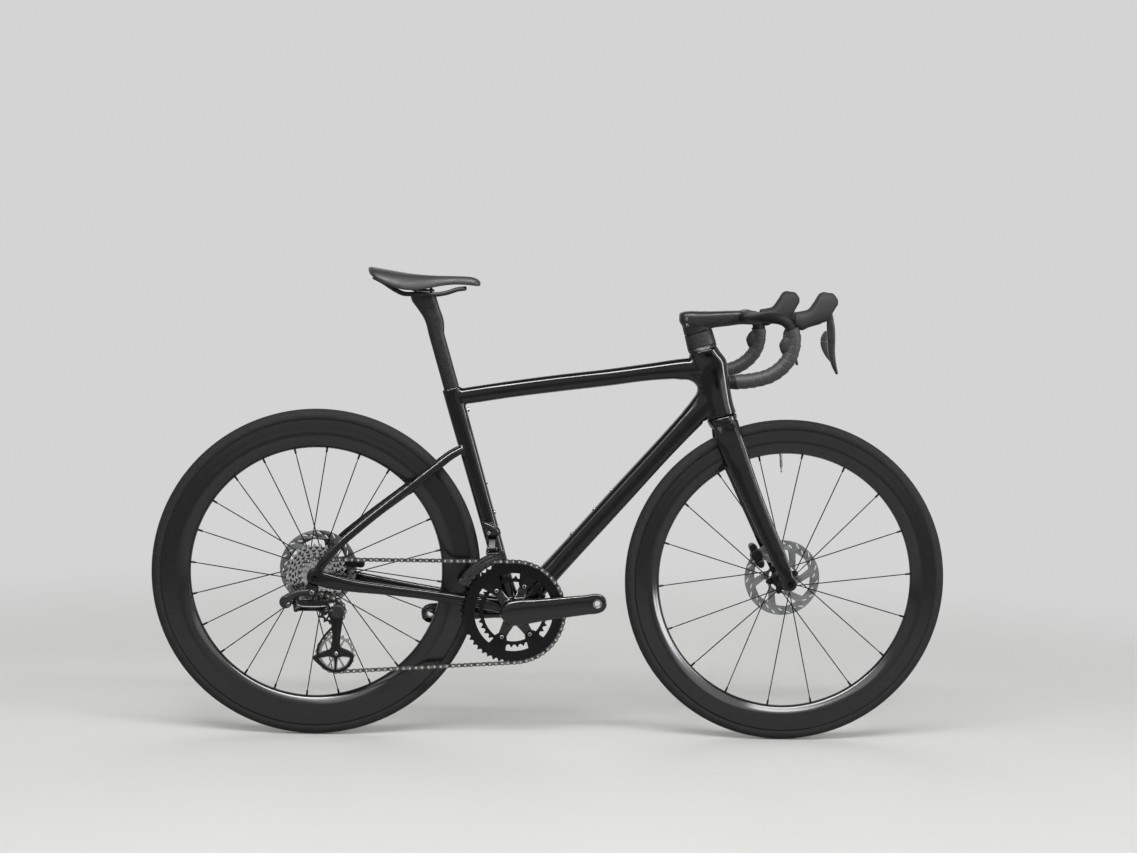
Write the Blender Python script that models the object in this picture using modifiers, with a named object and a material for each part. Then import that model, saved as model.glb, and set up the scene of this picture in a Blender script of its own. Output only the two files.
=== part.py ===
"""Aero road bike with disc brakes and electronic shifting, as separate pieces.

Run with: blender --background --python part.py
Sizes below are in millimetres; MM turns them into Blender's metres.
+X points forward, +Y to the rider's left and +Z up. The chain is on the -Y side.
The origin is on the ground, midway between the two tyres.
"""
import math
from math import cos, sin, tan, pi, tau, radians, hypot, atan2, acos

import bmesh
import bpy
from mathutils import Matrix, Vector

MM = 0.001
GAP = 0.3

# Driving dimensions of the frame
WHEELBASE = 978.0
TYRE_RADIUS = 338.0
BB_DROP = 70.0
CHAINSTAY = 413.0
HEAD_ANGLE = radians(73.3)
FORK_OFFSET = 44.0
HEAD_TUBE_LOW = 370.0
HEAD_TUBE_TOP = 514.0
SEAT_ANGLE = radians(73.1)
SEAT_TOP_Z = 727.0
FRONT_HUB_WIDTH = 100.0
REAR_HUB_WIDTH = 142.0
AXLE_RADIUS = 6.0

# Wheels
RIM_EDGE_RADIUS = 316.5
BEAD_RADIUS = 311.0
TYRE_HALF_WIDTH = 13.8
FRONT_RIM_INNER = 266.0
REAR_RIM_INNER = 257.5
RIM_HALF_WIDTH = 15.0
WHEEL_SIDES = 32
FRONT_SPOKES = 18
REAR_SPOKES = 24
SPOKE_WIDTH = 2.6
SPOKE_THICKNESS = 1.2
SPOKE_CROSS = 1.1
ROTOR_RADIUS = 80.0
ROTOR_THICKNESS = 1.8
ROTOR_SLOTS = 12
ROTOR_ARMS = 6
FRONT_ROTOR_Y = 34.5
REAR_ROTOR_Y = 55.5

# Drivetrain
PITCH = 12.7
CHAIN_Y = -46.4
COG_STEP = 3.6
COG_TEETH = (11, 12, 13, 14, 15, 16, 17, 19, 21, 24, 27, 30)
CHAIN_COG = 5
OUTER_TEETH = 52
INNER_TEETH = 36
INNER_RING_Y = -39.5
GUIDE_TEETH = 13
TENSION_TEETH = 19
TOOTH_THICKNESS = 1.8
TOOTH_ROOT = 3.8
TOOTH_TIP = 2.2
COG_THICKNESS = 1.5
CHAIN_HALF_WIDTH = 2.5
CHAIN_WAIST_WIDTH = 1.9
CRANK_LENGTH = 172.5
CRANK_ANGLE = radians(8.0)
PEDAL_FACE_Y = 73.0
PEDAL_HOLE_RADIUS = 7.2

# Cockpit
BAR_RADIUS = 11.9
HOOD_HALF_SPACING = 206.0
TAPE_INNER = 13.9
TAPE_OUTER = 15.7
TAPE_TURNS = 11
TAPE_GAP = 1.2
TAPE_STEPS = 7

# Places worked out from the driving dimensions
FRONT_AXLE = Vector((WHEELBASE / 2, 0.0, TYRE_RADIUS))
REAR_AXLE = Vector((-WHEELBASE / 2, 0.0, TYRE_RADIUS))
BB = Vector((-WHEELBASE / 2 + math.sqrt(CHAINSTAY ** 2 - BB_DROP ** 2), 0.0, TYRE_RADIUS - BB_DROP))
STEER_UP = Vector((-cos(HEAD_ANGLE), 0.0, sin(HEAD_ANGLE)))
STEER_FORWARD = Vector((sin(HEAD_ANGLE), 0.0, cos(HEAD_ANGLE)))
STEER_FOOT = FRONT_AXLE - STEER_FORWARD * FORK_OFFSET
SEAT_UP = Vector((-cos(SEAT_ANGLE), 0.0, sin(SEAT_ANGLE)))
SEAT_FORWARD = Vector((sin(SEAT_ANGLE), 0.0, cos(SEAT_ANGLE)))
LEFT = Vector((0.0, 1.0, 0.0))
FORWARD = Vector((1.0, 0.0, 0.0))
UP = Vector((0.0, 0.0, 1.0))
GUIDE_CENTRE = Vector((-455.0, CHAIN_Y, 264.0))
TENSION_CENTRE = Vector((-444.0, CHAIN_Y, 177.0))
CAGE_PIVOT = Vector((-443.0, CHAIN_Y, 266.0))


def steer_point(height, forward=0.0, side=0.0):
    """A point by its height along the steering axis and its distance ahead of it."""
    return STEER_FOOT + STEER_UP * height + STEER_FORWARD * forward + LEFT * side


def seat_point(height, forward=0.0, side=0.0):
    """A point by its height along the seat tube's axis, from the bottom bracket."""
    return BB + SEAT_UP * height + SEAT_FORWARD * forward + LEFT * side


def clear_scene():
    for item in list(bpy.data.objects):
        bpy.data.objects.remove(item, do_unlink=True)


clear_scene()
BIKE = bpy.data.collections.new("road_bike")
CUTTERS = bpy.data.collections.new("cutters")
bpy.context.scene.collection.children.link(BIKE)
bpy.context.scene.collection.children.link(CUTTERS)


# Materials
def make_material(name, colour, roughness, metallic=0.0):
    material = bpy.data.materials.new(name)
    material.use_nodes = True
    shader = material.node_tree.nodes["Principled BSDF"]
    shader.inputs["Base Color"].default_value = (*colour, 1.0)
    shader.inputs["Roughness"].default_value = roughness
    shader.inputs["Metallic"].default_value = metallic
    material.diffuse_color = (*colour, 1.0)
    return material


GLOSS_CARBON = make_material("gloss_black_carbon", (0.012, 0.012, 0.014), 0.12)
SATIN_CARBON = make_material("satin_black_carbon", (0.02, 0.02, 0.022), 0.38)
RUBBER = make_material("black_rubber", (0.015, 0.015, 0.015), 0.75)
TAPE_CORK = make_material("black_bar_tape", (0.018, 0.018, 0.02), 0.65)
SADDLE_COVER = make_material("black_saddle_cover", (0.02, 0.02, 0.022), 0.5)
DARK_ALLOY = make_material("dark_grey_alloy", (0.03, 0.03, 0.034), 0.3, 0.8)
BRIGHT_STEEL = make_material("bright_steel", (0.62, 0.62, 0.64), 0.25, 1.0)
CHAIN_STEEL = make_material("chain_steel", (0.38, 0.38, 0.39), 0.3, 1.0)
BLACK_PLASTIC = make_material("black_plastic", (0.02, 0.02, 0.02), 0.45)
BRAKE_PAD = make_material("brake_pad", (0.12, 0.11, 0.1), 0.8)


# Modelling helpers
def link_mesh(name, bm, material, origin=None, collection=None):
    """Turns a bmesh in millimetres into an object with its origin at a point."""
    origin = Vector(origin) if origin is not None else Vector((0.0, 0.0, 0.0))
    bmesh.ops.recalc_face_normals(bm, faces=bm.faces)
    bmesh.ops.translate(bm, verts=bm.verts, vec=-origin)
    bmesh.ops.scale(bm, verts=bm.verts, vec=(MM, MM, MM))
    mesh = bpy.data.meshes.new(name)
    bm.to_mesh(mesh)
    bm.free()
    if material:
        mesh.materials.append(material)
    mesh.shade_smooth()
    mesh.set_sharp_from_angle(angle=radians(35))
    item = bpy.data.objects.new(name, mesh)
    item.location = origin * MM
    (collection or BIKE).objects.link(item)
    return item


def add_rings(bm, rings, closed_path=False):
    """Joins rings of points with quads, and caps the two ends."""
    rows = [[bm.verts.new(point) for point in ring] for ring in rings]
    count = len(rows[0])
    pairs = list(zip(rows, rows[1:]))
    if closed_path:
        pairs.append((rows[-1], rows[0]))
    for lower, upper in pairs:
        for k in range(count):
            m = (k + 1) % count
            bm.faces.new((lower[k], lower[m], upper[m], upper[k]))
    if not closed_path:
        bm.faces.new(list(reversed(rows[0])))
        bm.faces.new(rows[-1])
    return rows


def loft(name, rings, material=None, origin=None, collection=None, closed_path=False):
    bm = bmesh.new()
    add_rings(bm, rings, closed_path)
    return link_mesh(name, bm, material, origin, collection)


def oval(centre, across, along, half_across, half_along, sides=8, power=2.5):
    """A superellipse ring in the plane of two unit vectors."""
    points = []
    for k in range(sides):
        turn = tau * (k + 0.5) / sides
        c, s = cos(turn), sin(turn)
        a = half_across * math.copysign(abs(c) ** (2 / power), c)
        b = half_along * math.copysign(abs(s) ** (2 / power), s)
        points.append(centre + across * a + along * b)
    return points


def tube_rings(stations, sides=8, power=2.5):
    """Rings square to a path of stations (x, y, z, half depth, half width)."""
    centres = [Vector(station[:3]) for station in stations]
    rings = []
    for i, station in enumerate(stations):
        ahead = centres[min(i + 1, len(centres) - 1)]
        behind = centres[max(i - 1, 0)]
        along = (ahead - behind).normalized()
        side = (LEFT - along * LEFT.dot(along)).normalized()
        depth = side.cross(along)
        rings.append(oval(centres[i], depth, side, station[3], station[4], sides, power))
    return rings


def mirrored(stations, side):
    """Stations for the right (side -1) or the left (side 1)."""
    return [(x, y * side, z, a, b) for x, y, z, a, b in stations]


def cutter(item):
    for owner in list(item.users_collection):
        owner.objects.unlink(item)
    CUTTERS.objects.link(item)
    item.hide_render = True
    item.display_type = "WIRE"
    return item


def boolean(target, tool, operation):
    cutter(tool)
    modifier = target.modifiers.new(operation.lower(), "BOOLEAN")
    modifier.object = tool
    modifier.operation = operation
    modifier.solver = "EXACT"
    return target


def join(target, tools):
    for tool in tools:
        boolean(target, tool, "UNION")
    return target


def cut(target, tools):
    for tool in tools:
        boolean(target, tool, "DIFFERENCE")
    return target


def rod(name, start, end, radius, material=None, sides=12, end_radius=None, origin=None):
    """A round bar or cone between two points, from a cone primitive."""
    start, end = Vector(start), Vector(end)
    along = end - start
    bm = bmesh.new()
    bmesh.ops.create_cone(bm, cap_ends=True, segments=sides, radius1=radius,
                          radius2=radius if end_radius is None else end_radius, depth=along.length)
    turn = UP.rotation_difference(along.normalized()).to_matrix().to_4x4()
    bmesh.ops.transform(bm, matrix=Matrix.Translation((start + end) / 2) @ turn, verts=bm.verts)
    return link_mesh(name, bm, material, origin)


def block(name, centre, size, material=None, axes=None, bevel=0.0, origin=None):
    """A box about a centre, along its own axes where they are given."""
    bm = bmesh.new()
    bmesh.ops.create_cube(bm, size=1.0)
    bmesh.ops.scale(bm, verts=bm.verts, vec=size)
    if axes:
        turn = Matrix((axes[0], axes[1], axes[2])).transposed().to_4x4()
        bmesh.ops.transform(bm, matrix=turn, verts=bm.verts)
    bmesh.ops.translate(bm, verts=bm.verts, vec=centre)
    if bevel:
        bmesh.ops.bevel(bm, geom=bm.edges[:], offset=bevel, segments=1, affect="EDGES")
    return link_mesh(name, bm, material, origin)


def turned(name, profile, centre, axis, sides, material=None, closed=True):
    """A profile of (radius, position along the axis) turned with a Screw modifier.

    The profile runs down its outer side, and back up its bore when it is closed.
    """
    bm = bmesh.new()
    points = [bm.verts.new((radius * MM, 0.0, height * MM)) for radius, height in profile]
    for first, second in zip(points, points[1:]):
        bm.edges.new((first, second))
    if closed:
        bm.edges.new((points[-1], points[0]))
    mesh = bpy.data.meshes.new(name)
    bm.to_mesh(mesh)
    bm.free()
    if material:
        mesh.materials.append(material)
    item = bpy.data.objects.new(name, mesh)
    item.location = Vector(centre) * MM
    item.rotation_euler = UP.rotation_difference(Vector(axis).normalized()).to_euler()
    screw = item.modifiers.new("turn", "SCREW")
    screw.steps = sides
    screw.render_steps = sides
    screw.use_merge_vertices = True
    screw.merge_threshold = 0.00001
    screw.use_smooth_shade = True
    BIKE.objects.link(item)
    return item


def ring_profile(inner, outer, low, high):
    return [(outer, high), (outer, low), (inner, low), (inner, high)]


def plate(name, outlines, y, thickness, material=None, origin=None, one_face=False):
    """A flat plate in the bike's plane: outlines of (x, z), the holes after the first."""
    curve = bpy.data.curves.new(name, "CURVE")
    curve.dimensions = "2D"
    curve.fill_mode = "BOTH"
    curve.extrude = thickness / 2 * MM
    origin = Vector(origin) if origin is not None else Vector((0.0, y, 0.0))
    for outline in outlines:
        spline = curve.splines.new("POLY")
        spline.points.add(len(outline) - 1)
        for point, (x, z) in zip(spline.points, outline):
            point.co = ((x - origin.x) * MM, (z - origin.z) * MM, 0.0, 1.0)
        spline.use_cyclic_u = True
    item = bpy.data.objects.new(name, curve)
    item.location = Vector((origin.x, y, origin.z)) * MM
    item.rotation_euler = (pi / 2, 0.0, 0.0)
    BIKE.objects.link(item)
    return as_mesh(item, material, one_face)


def as_mesh(item, material, one_face=False):
    """Replaces a curve object by a welded mesh object of the same name and place."""
    bpy.context.view_layer.update()
    depsgraph = bpy.context.evaluated_depsgraph_get()
    mesh = bpy.data.meshes.new_from_object(item.evaluated_get(depsgraph))
    bm = bmesh.new()
    bm.from_mesh(mesh)
    bmesh.ops.remove_doubles(bm, verts=bm.verts, dist=0.000002)
    if one_face:
        bmesh.ops.dissolve_limit(bm, angle_limit=radians(0.5), verts=bm.verts, edges=bm.edges)
    bmesh.ops.recalc_face_normals(bm, faces=bm.faces)
    bm.to_mesh(mesh)
    bm.free()
    name = item.name
    matrix = item.matrix_world.copy()
    bpy.data.objects.remove(item, do_unlink=True)
    mesh.name = name
    if material:
        mesh.materials.append(material)
    mesh.set_sharp_from_angle(angle=radians(30))
    solid = bpy.data.objects.new(name, mesh)
    solid.matrix_world = matrix
    BIKE.objects.link(solid)
    return solid


def circle(centre, radius, sides, phase=0.0):
    x, z = centre
    return [(x + radius * cos(tau * k / sides + phase), z + radius * sin(tau * k / sides + phase))
            for k in range(sides)]


def move_origin(item, point):
    """Puts a mesh object's origin on its joint's axis without moving its shape."""
    bpy.context.view_layer.update()
    shift = item.matrix_world.inverted() @ (Vector(point) * MM)
    item.data.transform(Matrix.Translation(-shift))
    item.matrix_world = item.matrix_world @ Matrix.Translation(shift)
    return item


def pitch_radius(teeth):
    return PITCH / (2 * sin(pi / teeth))


def flat_centre(vector):
    return (vector.x, vector.z)


# Stacks of flat loops, for toothed wheels
def flat_loop(bm, outline, y):
    verts = [bm.verts.new((x, y, z)) for x, z in outline]
    return verts, [bm.edges.new((verts[k - 1], verts[k])) for k in range(len(verts))]


def wall(bm, first, second):
    for k in range(len(first[0])):
        bm.faces.new((first[0][k - 1], first[0][k], second[0][k], second[0][k - 1]))


def washer(bm, outer, inner):
    bmesh.ops.triangle_fill(bm, edges=outer[1] + inner[1], normal=(0, 1, 0))


def toothed_rim(bm, centre, teeth, phase, y, half):
    """Adds teeth that narrow to their tips, and returns the two loops along their roots.

    The phase is the angle of a valley, where a roller sits.
    """
    x, z = flat_centre(centre)
    root, tip = pitch_radius(teeth) - TOOTH_ROOT, pitch_radius(teeth) + TOOTH_TIP
    loops = [flat_loop(bm, circle((x, z), root, teeth, phase), y + side * half) for side in (-1, 1)]
    tips = [bm.verts.new((px, y, pz)) for px, pz in circle((x, z), tip, teeth, phase + pi / teeth)]
    for k in range(teeth):
        after = (k + 1) % teeth
        for verts, _ in loops:
            bm.faces.new((verts[k], tips[k], verts[after]))
        bm.faces.new((loops[0][0][k], loops[1][0][k], tips[k]))
        bm.faces.new((loops[0][0][k], loops[1][0][k], tips[k - 1]))
    return loops


# Chain route in the bike's plane: wheels in the order that the chain meets them
def chain_route():
    """Returns the pins along the closed chain and the angle of a pin on each wheel."""
    wheels = [
        ("cog", flat_centre(REAR_AXLE), pitch_radius(COG_TEETH[CHAIN_COG]), -1),
        ("ring", flat_centre(BB), pitch_radius(OUTER_TEETH), -1),
        ("tension", flat_centre(TENSION_CENTRE), pitch_radius(TENSION_TEETH), -1),
        ("guide", flat_centre(GUIDE_CENTRE), pitch_radius(GUIDE_TEETH), 1),
    ]
    count = len(wheels)
    leave, arrive = [0.0] * count, [0.0] * count
    for i in range(count):
        _, (x1, z1), r1, s1 = wheels[i]
        _, (x2, z2), r2, s2 = wheels[(i + 1) % count]
        distance = hypot(x2 - x1, z2 - z1)
        normal = atan2(z2 - z1, x2 - x1) - acos((s1 * r1 - s2 * r2) / distance)
        leave[i] = normal if s1 > 0 else normal + pi
        arrive[(i + 1) % count] = normal if s2 > 0 else normal + pi
    pieces = []
    for i in range(count):
        name, (x, z), radius, sense = wheels[i]
        sweep = ((leave[i] - arrive[i]) * sense) % tau
        pieces.append(("arc", name, (x, z), radius, sense, arrive[i], sweep, sweep * radius))
        x2, z2 = wheels[(i + 1) % count][1]
        r2 = wheels[(i + 1) % count][2]
        start = (x + radius * cos(leave[i]), z + radius * sin(leave[i]))
        j = (i + 1) % count
        end = (x2 + r2 * cos(arrive[j]), z2 + r2 * sin(arrive[j]))
        pieces.append(("run", start, end, hypot(end[0] - start[0], end[1] - start[1])))
    total = sum(piece[-1] for piece in pieces)
    links = 2 * round(total / PITCH / 2)
    step = total / links
    pins, phases = [], {}
    base, index = 0.0, 0
    for piece in pieces:
        length = piece[-1]
        while index < links and index * step < base + length - 1e-9:
            along = index * step - base
            if piece[0] == "arc":
                _, name, (x, z), radius, sense, start, _, _ = piece
                turn = start + sense * along / radius
                phases.setdefault(name, turn)
                point = (x + radius * cos(turn), z + radius * sin(turn))
            else:
                _, start, end, _ = piece
                part = along / length
                point = (start[0] + (end[0] - start[0]) * part, start[1] + (end[1] - start[1]) * part)
            pins.append(point)
            index += 1
        base += length
    return pins, phases


PINS, PHASES = chain_route()


# Frame
def build_frame():
    """Head tube, main tubes, stays and dropouts, joined and then bored."""
    head = loft("frame", [
        oval(steer_point(t, (front - rear) / 2), STEER_FORWARD, LEFT, (front + rear) / 2, width, 12, 2.3)
        for t, front, rear, width in (
            (HEAD_TUBE_LOW + GAP, 34, 29, 29), (388, 33, 30, 27), (420, 35, 31, 24), (455, 39, 31, 23),
            (484, 41, 31, 25), (498, 35, 30.5, 28), (HEAD_TUBE_TOP, 29.5, 29.5, 29.5))],
        GLOSS_CARBON)
    top_tube = loft("top_tube", tube_rings([
        (322, 0, 783, 22, 19), (262, 0, 778, 21.5, 19), (190, 0, 769, 18.5, 18.5), (100, 0, 755, 18, 18),
        (0, 0, 741, 18, 17), (-110, 0, 724, 17.5, 16), (-178, 0, 712, 17.5, 15), (-214, 0, 706, 17, 14)], 8))
    down_tube = loft("down_tube", tube_rings([
        (336, 0, 734, 26, 20), (290, 0, 684, 24, 20), (240, 0, 628, 22, 20), (130, 0, 502, 22, 21),
        (10, 0, 364, 22, 23), (-50, 0, 296, 23, 28), (-84, 0, 262, 20, 30)], 8, 2.8))
    seat_tube = loft("seat_tube", [
        oval(seat_point(t, f), SEAT_FORWARD, LEFT, depth, width, 8, 2.6)
        for t, f, depth, width in (
            (2, 0, 19, 30), (60, 0, 17, 24), (150, 0, 17, 17), (260, 0, 17.5, 16), (370, 0, 18.5, 15.5),
            (430, 0, 19, 15.5), (478, 0, 19, 15.5))])
    shell = rod("bb_shell", BB - LEFT * 34, BB + LEFT * 34, 25.5, sides=14)
    parts = [top_tube, down_tube, seat_tube, shell]
    for side in (-1, 1):
        parts.append(loft("chainstay", tube_rings(mirrored([
            (-84, 18, 270, 15, 14), (-150, 27, 283, 11, 8), (-200, 29.5, 290, 10.5, 7),
            (-260, 35, 299, 10, 6.5), (-340, 50, 310, 10.5, 6.5), (-420, 66, 321, 13, 6.5),
            (-462, 75, 330, 15, 4.2), (-489, 75.2, 337, 15, 3.5)], side), 6, 3.0)))
        parts.append(loft("seatstay", tube_rings(mirrored([
            (-190, 8, 603, 8.5, 7.5), (-216, 19, 588, 8.5, 6.5), (-250, 29, 561, 8.5, 5.5), (-321, 39, 504, 8.5, 5.5),
            (-400, 55, 440, 8.5, 5.5), (-446, 68, 399, 8.5, 5), (-474, 75, 366, 9.5, 3.6),
            (-488, 75, 339, 10.5, 3.1)], side), 6, 3.0)))
        parts.append(rod("dropout", REAR_AXLE + LEFT * side * (REAR_HUB_WIDTH / 2 + GAP),
                         REAR_AXLE + LEFT * side * (REAR_HUB_WIDTH / 2 + 8), 17, sides=12))
    frame = join(head, parts)
    bore = [
        rod("bearing_seat_low", steer_point(340), steer_point(HEAD_TUBE_LOW + 12), 26.4, sides=12),
        rod("bearing_seat_top", steer_point(HEAD_TUBE_TOP - 12), steer_point(HEAD_TUBE_TOP + 20), 26.4, sides=12),
        rod("steerer_bore", steer_point(340), steer_point(HEAD_TUBE_TOP + 20), 19.0, sides=8),
        rod("crown_recess", steer_point(300), steer_point(HEAD_TUBE_LOW + GAP), 42.0, sides=16),
        rod("bb_bore", BB - LEFT * 60, BB + LEFT * 60, 18.2, sides=12),
        rod("axle_bore", REAR_AXLE - LEFT * 100, REAR_AXLE + LEFT * 100, AXLE_RADIUS + 0.4, sides=10),
        loft("seatpost_bore", [oval(seat_point(t, POST_OFFSET), SEAT_FORWARD, LEFT, POST_DEPTH + 0.4,
                                    POST_WIDTH + 0.4, 12, 2.4) for t in (218, 540)]),
    ]
    return cut(frame, bore)


# Seatpost and saddle
POST_DEPTH = 15.9
POST_WIDTH = 11.5
POST_OFFSET = 0.6
POST_BOTTOM = 310.0
RAIL_Z = 917.5
RAIL_HALF_HEIGHT = 4.6
RAIL_HALF_WIDTH = 3.5
RAIL_Y = 22.0
POST_HEAD_Z = RAIL_Z - RAIL_HALF_HEIGHT - GAP


def build_seatpost():
    """A D-section post whose rear sweeps back under the saddle rails."""
    rings = [oval(seat_point(t, POST_OFFSET), SEAT_FORWARD, LEFT, POST_DEPTH, POST_WIDTH, 12, 2.4)
             for t in (POST_BOTTOM, 590)]
    flares = ((868, -240.5, -281.0, 11.5), (888, -248, -295, 12.5), (903, -253, -306, 16), (POST_HEAD_Z, -256, -309, 18))
    for z, front, rear, width in flares:
        centre = Vector(((front + rear) / 2, 0, z))
        rings.append(oval(centre, FORWARD, LEFT, (front - rear) / 2, width, 12, 2.4))
    return loft("seatpost", rings, SATIN_CARBON, seat_point(500))


def build_saddle():
    """A short-nosed saddle: crowned top, drawn-down sides and a long centre channel."""
    # x, half width, top height, skirt height, channel depth
    rows = (
        (-397, 46, 972, 957, 1.5), (-380, 66, 970, 941, 3), (-350, 71, 966, 926, 5), (-318, 64, 961, 917, 7),
        (-285, 47, 958.5, 921, 8), (-255, 33, 957.5, 930, 8), (-225, 25, 957.5, 936, 7), (-195, 21, 957.5, 936, 4),
        (-175, 19, 954.5, 934, 1.5), (-165, 12, 946, 935, 0))
    rings = []
    for x, half, top, skirt, channel in rows:
        wall = min(7.0, half * 0.35)
        under = skirt + (top - skirt) * 0.45
        arch = [(0, top - channel), (half * 0.28, top - channel * 0.2), (half * 0.72, top - 2.0),
                (half, (top * 0.4 + skirt * 0.6)), (half - wall * 0.4, skirt - 1.0),
                (half * 0.62, under), (0, max(under, top - 14.0))]
        points = [(y, z) for y, z in arch] + [(-y, z) for y, z in reversed(arch[1:-1])]
        rings.append([Vector((x, y, z)) for y, z in points])
    saddle = loft("saddle", rings, SADDLE_COVER)
    for polygon in saddle.data.polygons:
        polygon.use_smooth = True
    smooth = saddle.modifiers.new("smooth", "SUBSURF")
    smooth.levels = 1
    smooth.render_levels = 1
    return saddle


def build_rails():
    """One oval carbon rail, bent round under the nose."""
    half = [(-384, 34, 949), (-366, 31, 940), (-340, 26, 924), (-326, RAIL_Y, RAIL_Z), (-290, RAIL_Y, RAIL_Z),
            (-250, RAIL_Y, RAIL_Z), (-234, RAIL_Y - 1, 921), (-212, 15, 928.5), (-199, 8, 930.5)]
    route = [Vector((x, -y, z)) for x, y, z in half] + [Vector((x, y, z)) for x, y, z in reversed(half)]
    rings = []
    for i, centre in enumerate(route):
        along = (route[min(i + 1, len(route) - 1)] - route[max(i - 1, 0)]).normalized()
        upright = (UP - along * UP.dot(along)).normalized()
        across = along.cross(upright)
        rings.append(oval(centre, across, upright, RAIL_HALF_WIDTH, RAIL_HALF_HEIGHT, 6, 2.4))
    return loft("saddle_rails", rings, SATIN_CARBON)


def build_saddle_clamp():
    """Upper clamp plate with its two bolts, between the rails and the post's head."""
    low = RAIL_Z + RAIL_HALF_HEIGHT + GAP
    clamp = block("saddle_clamp", (-283, 0, low + 2.5), (46, 2 * RAIL_Y + 12, 5), DARK_ALLOY, bevel=1.5)
    bolts = [rod("clamp_bolt", (x, 0, POST_HEAD_Z + GAP), (x, 0, low + 8), 3.2, sides=8) for x in (-299, -267)]
    return join(clamp, bolts)


def build_seatpost_wedge():
    """The wedge's bolt head in front of the seat tube, under the top tube."""
    start = seat_point(425, 19.6)
    return rod("seatpost_wedge_bolt", start, start + SEAT_FORWARD * 4.5, 4.5, BRIGHT_STEEL, 10)


# Headset, stem and bar
STEM_BOTTOM = 551.0
STEM_TOP = 597.0
STEERER_RADIUS = 14.3
STEERER_BORE = (STEERER_RADIUS + GAP) / cos(pi / 12)  # the corners of a twelve-sided bore
CLAMP_CENTRE = Vector((386.0, 0.0, 887.0))


def build_headset():
    for name, low in (("headset_bearing_lower", HEAD_TUBE_LOW + 1.0), ("headset_bearing_upper", HEAD_TUBE_TOP - 8.6)):
        turned(name, ring_profile(STEERER_BORE, 25.0, low, low + 8), STEER_FOOT, STEER_UP, 12, BRIGHT_STEEL)
    cover_top = HEAD_TUBE_TOP + 8
    cover = loft("headset_cover", [
        oval(steer_point(t), STEER_FORWARD, LEFT, a, b, 12, 2.2)
        for t, a, b in ((HEAD_TUBE_TOP + GAP, 29.5, 29.0), (cover_top, 30.5, 25.0))], BLACK_PLASTIC)
    spacers = loft("headset_spacers", [
        oval(steer_point(t), STEER_FORWARD, LEFT, a, b, 12, 2.2)
        for t, a, b in ((cover_top + GAP, 30.5, 25), (STEM_BOTTOM - GAP, 29.4, 23))], BLACK_PLASTIC)
    for item in (cover, spacers):
        cut(item, [rod(item.name + "_bore", steer_point(500), steer_point(560), STEERER_BORE, sides=12)])


def build_stem():
    """A deep aero stem: clamps the steerer behind and holds the bar in front."""
    body = loft("stem", [
        [Vector((x, y * width, z)) for y, z in (
            (-0.55, top), (0.55, top), (1, top - 7), (1, low + 7), (0.6, low), (-0.6, low), (-1, low + 7), (-1, top - 7))]
        for x, top, low, width in (
            (251, 893, 872, 17), (262, 896.5, 860, 23), (300, 897.5, 859.5, 23), (325, 898.5, 864.5, 21),
            (350, 900, 868, 19.5), (376, 901, 872.5, 19.5))], SATIN_CARBON)
    boss = loft("steerer_clamp", [
        oval(steer_point(t), STEER_FORWARD, LEFT, a, b, 12, 2.4)
        for t, a, b in ((STEM_BOTTOM, 29.3, 23), (575, 28.5, 23), (590, 26.5, 21))])
    join(body, [boss])
    return cut(body, [
        rod("steerer_hole", steer_point(530), steer_point(STEM_TOP - 4), STEERER_RADIUS + GAP, sides=12),
        block("bar_seat", (CLAMP_CENTRE.x + 8, 0, CLAMP_CENTRE.z), (58, 60, 2 * 12.2 + 0.6)),
    ])


def bar_route():
    """The right half of the bar from its centre to its end: x, y, z, half chord, half thickness."""
    return [
        (396, 0, 887, 21, 12.2), (396, -40, 887, 21, 12.2), (398, -95, 888, 20, 11), (404, -145, 889.5, 17, 11),
        (413, -176, 890, BAR_RADIUS, BAR_RADIUS), (424, -192, 889, BAR_RADIUS, BAR_RADIUS),
        (436, -201, 884, BAR_RADIUS, BAR_RADIUS), (446, -205, 872, BAR_RADIUS, BAR_RADIUS),
        (450.5, -206, 855, BAR_RADIUS, BAR_RADIUS), (450.5, -207, 836, BAR_RADIUS, BAR_RADIUS),
        (444, -208, 813, BAR_RADIUS, BAR_RADIUS), (430, -209, 793.5, BAR_RADIUS, BAR_RADIUS),
        (407, -210, 776.5, BAR_RADIUS, BAR_RADIUS), (375, -211, 766.5, BAR_RADIUS, BAR_RADIUS),
        (345, -212, 762.5, BAR_RADIUS, BAR_RADIUS), (324, -212, 761.5, BAR_RADIUS, BAR_RADIUS)]


def smooth_route(points, samples):
    """Evenly spaced points on a Catmull-Rom curve through the given ones, and its length."""
    dense = []
    for i in range(len(points) - 1):
        p0 = points[max(i - 1, 0)]
        p1, p2 = points[i], points[i + 1]
        p3 = points[min(i + 2, len(points) - 1)]
        for k in range(12):
            t = k / 12
            dense.append(0.5 * (2 * p1 + (p2 - p0) * t + (2 * p0 - 5 * p1 + 4 * p2 - p3) * t * t
                                + (3 * p1 - p0 - 3 * p2 + p3) * t ** 3))
    dense.append(points[-1])
    lengths = [0.0]
    for a, b in zip(dense, dense[1:]):
        lengths.append(lengths[-1] + (b - a).length)
    out, j = [], 0
    for k in range(samples):
        want = lengths[-1] * k / (samples - 1)
        while j < len(dense) - 2 and lengths[j + 1] < want:
            j += 1
        part = (want - lengths[j]) / max(lengths[j + 1] - lengths[j], 1e-9)
        out.append(dense[j].lerp(dense[j + 1], min(max(part, 0.0), 1.0)))
    return out, lengths[-1]


def carried_frames(points, first):
    """Two unit vectors across a route at each point, carried along it without twist."""
    frames = []
    for i in range(len(points)):
        along = (points[min(i + 1, len(points) - 1)] - points[max(i - 1, 0)]).normalized()
        first = (first - along * first.dot(along)).normalized()
        frames.append((first, along.cross(first)))
    return frames


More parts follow.
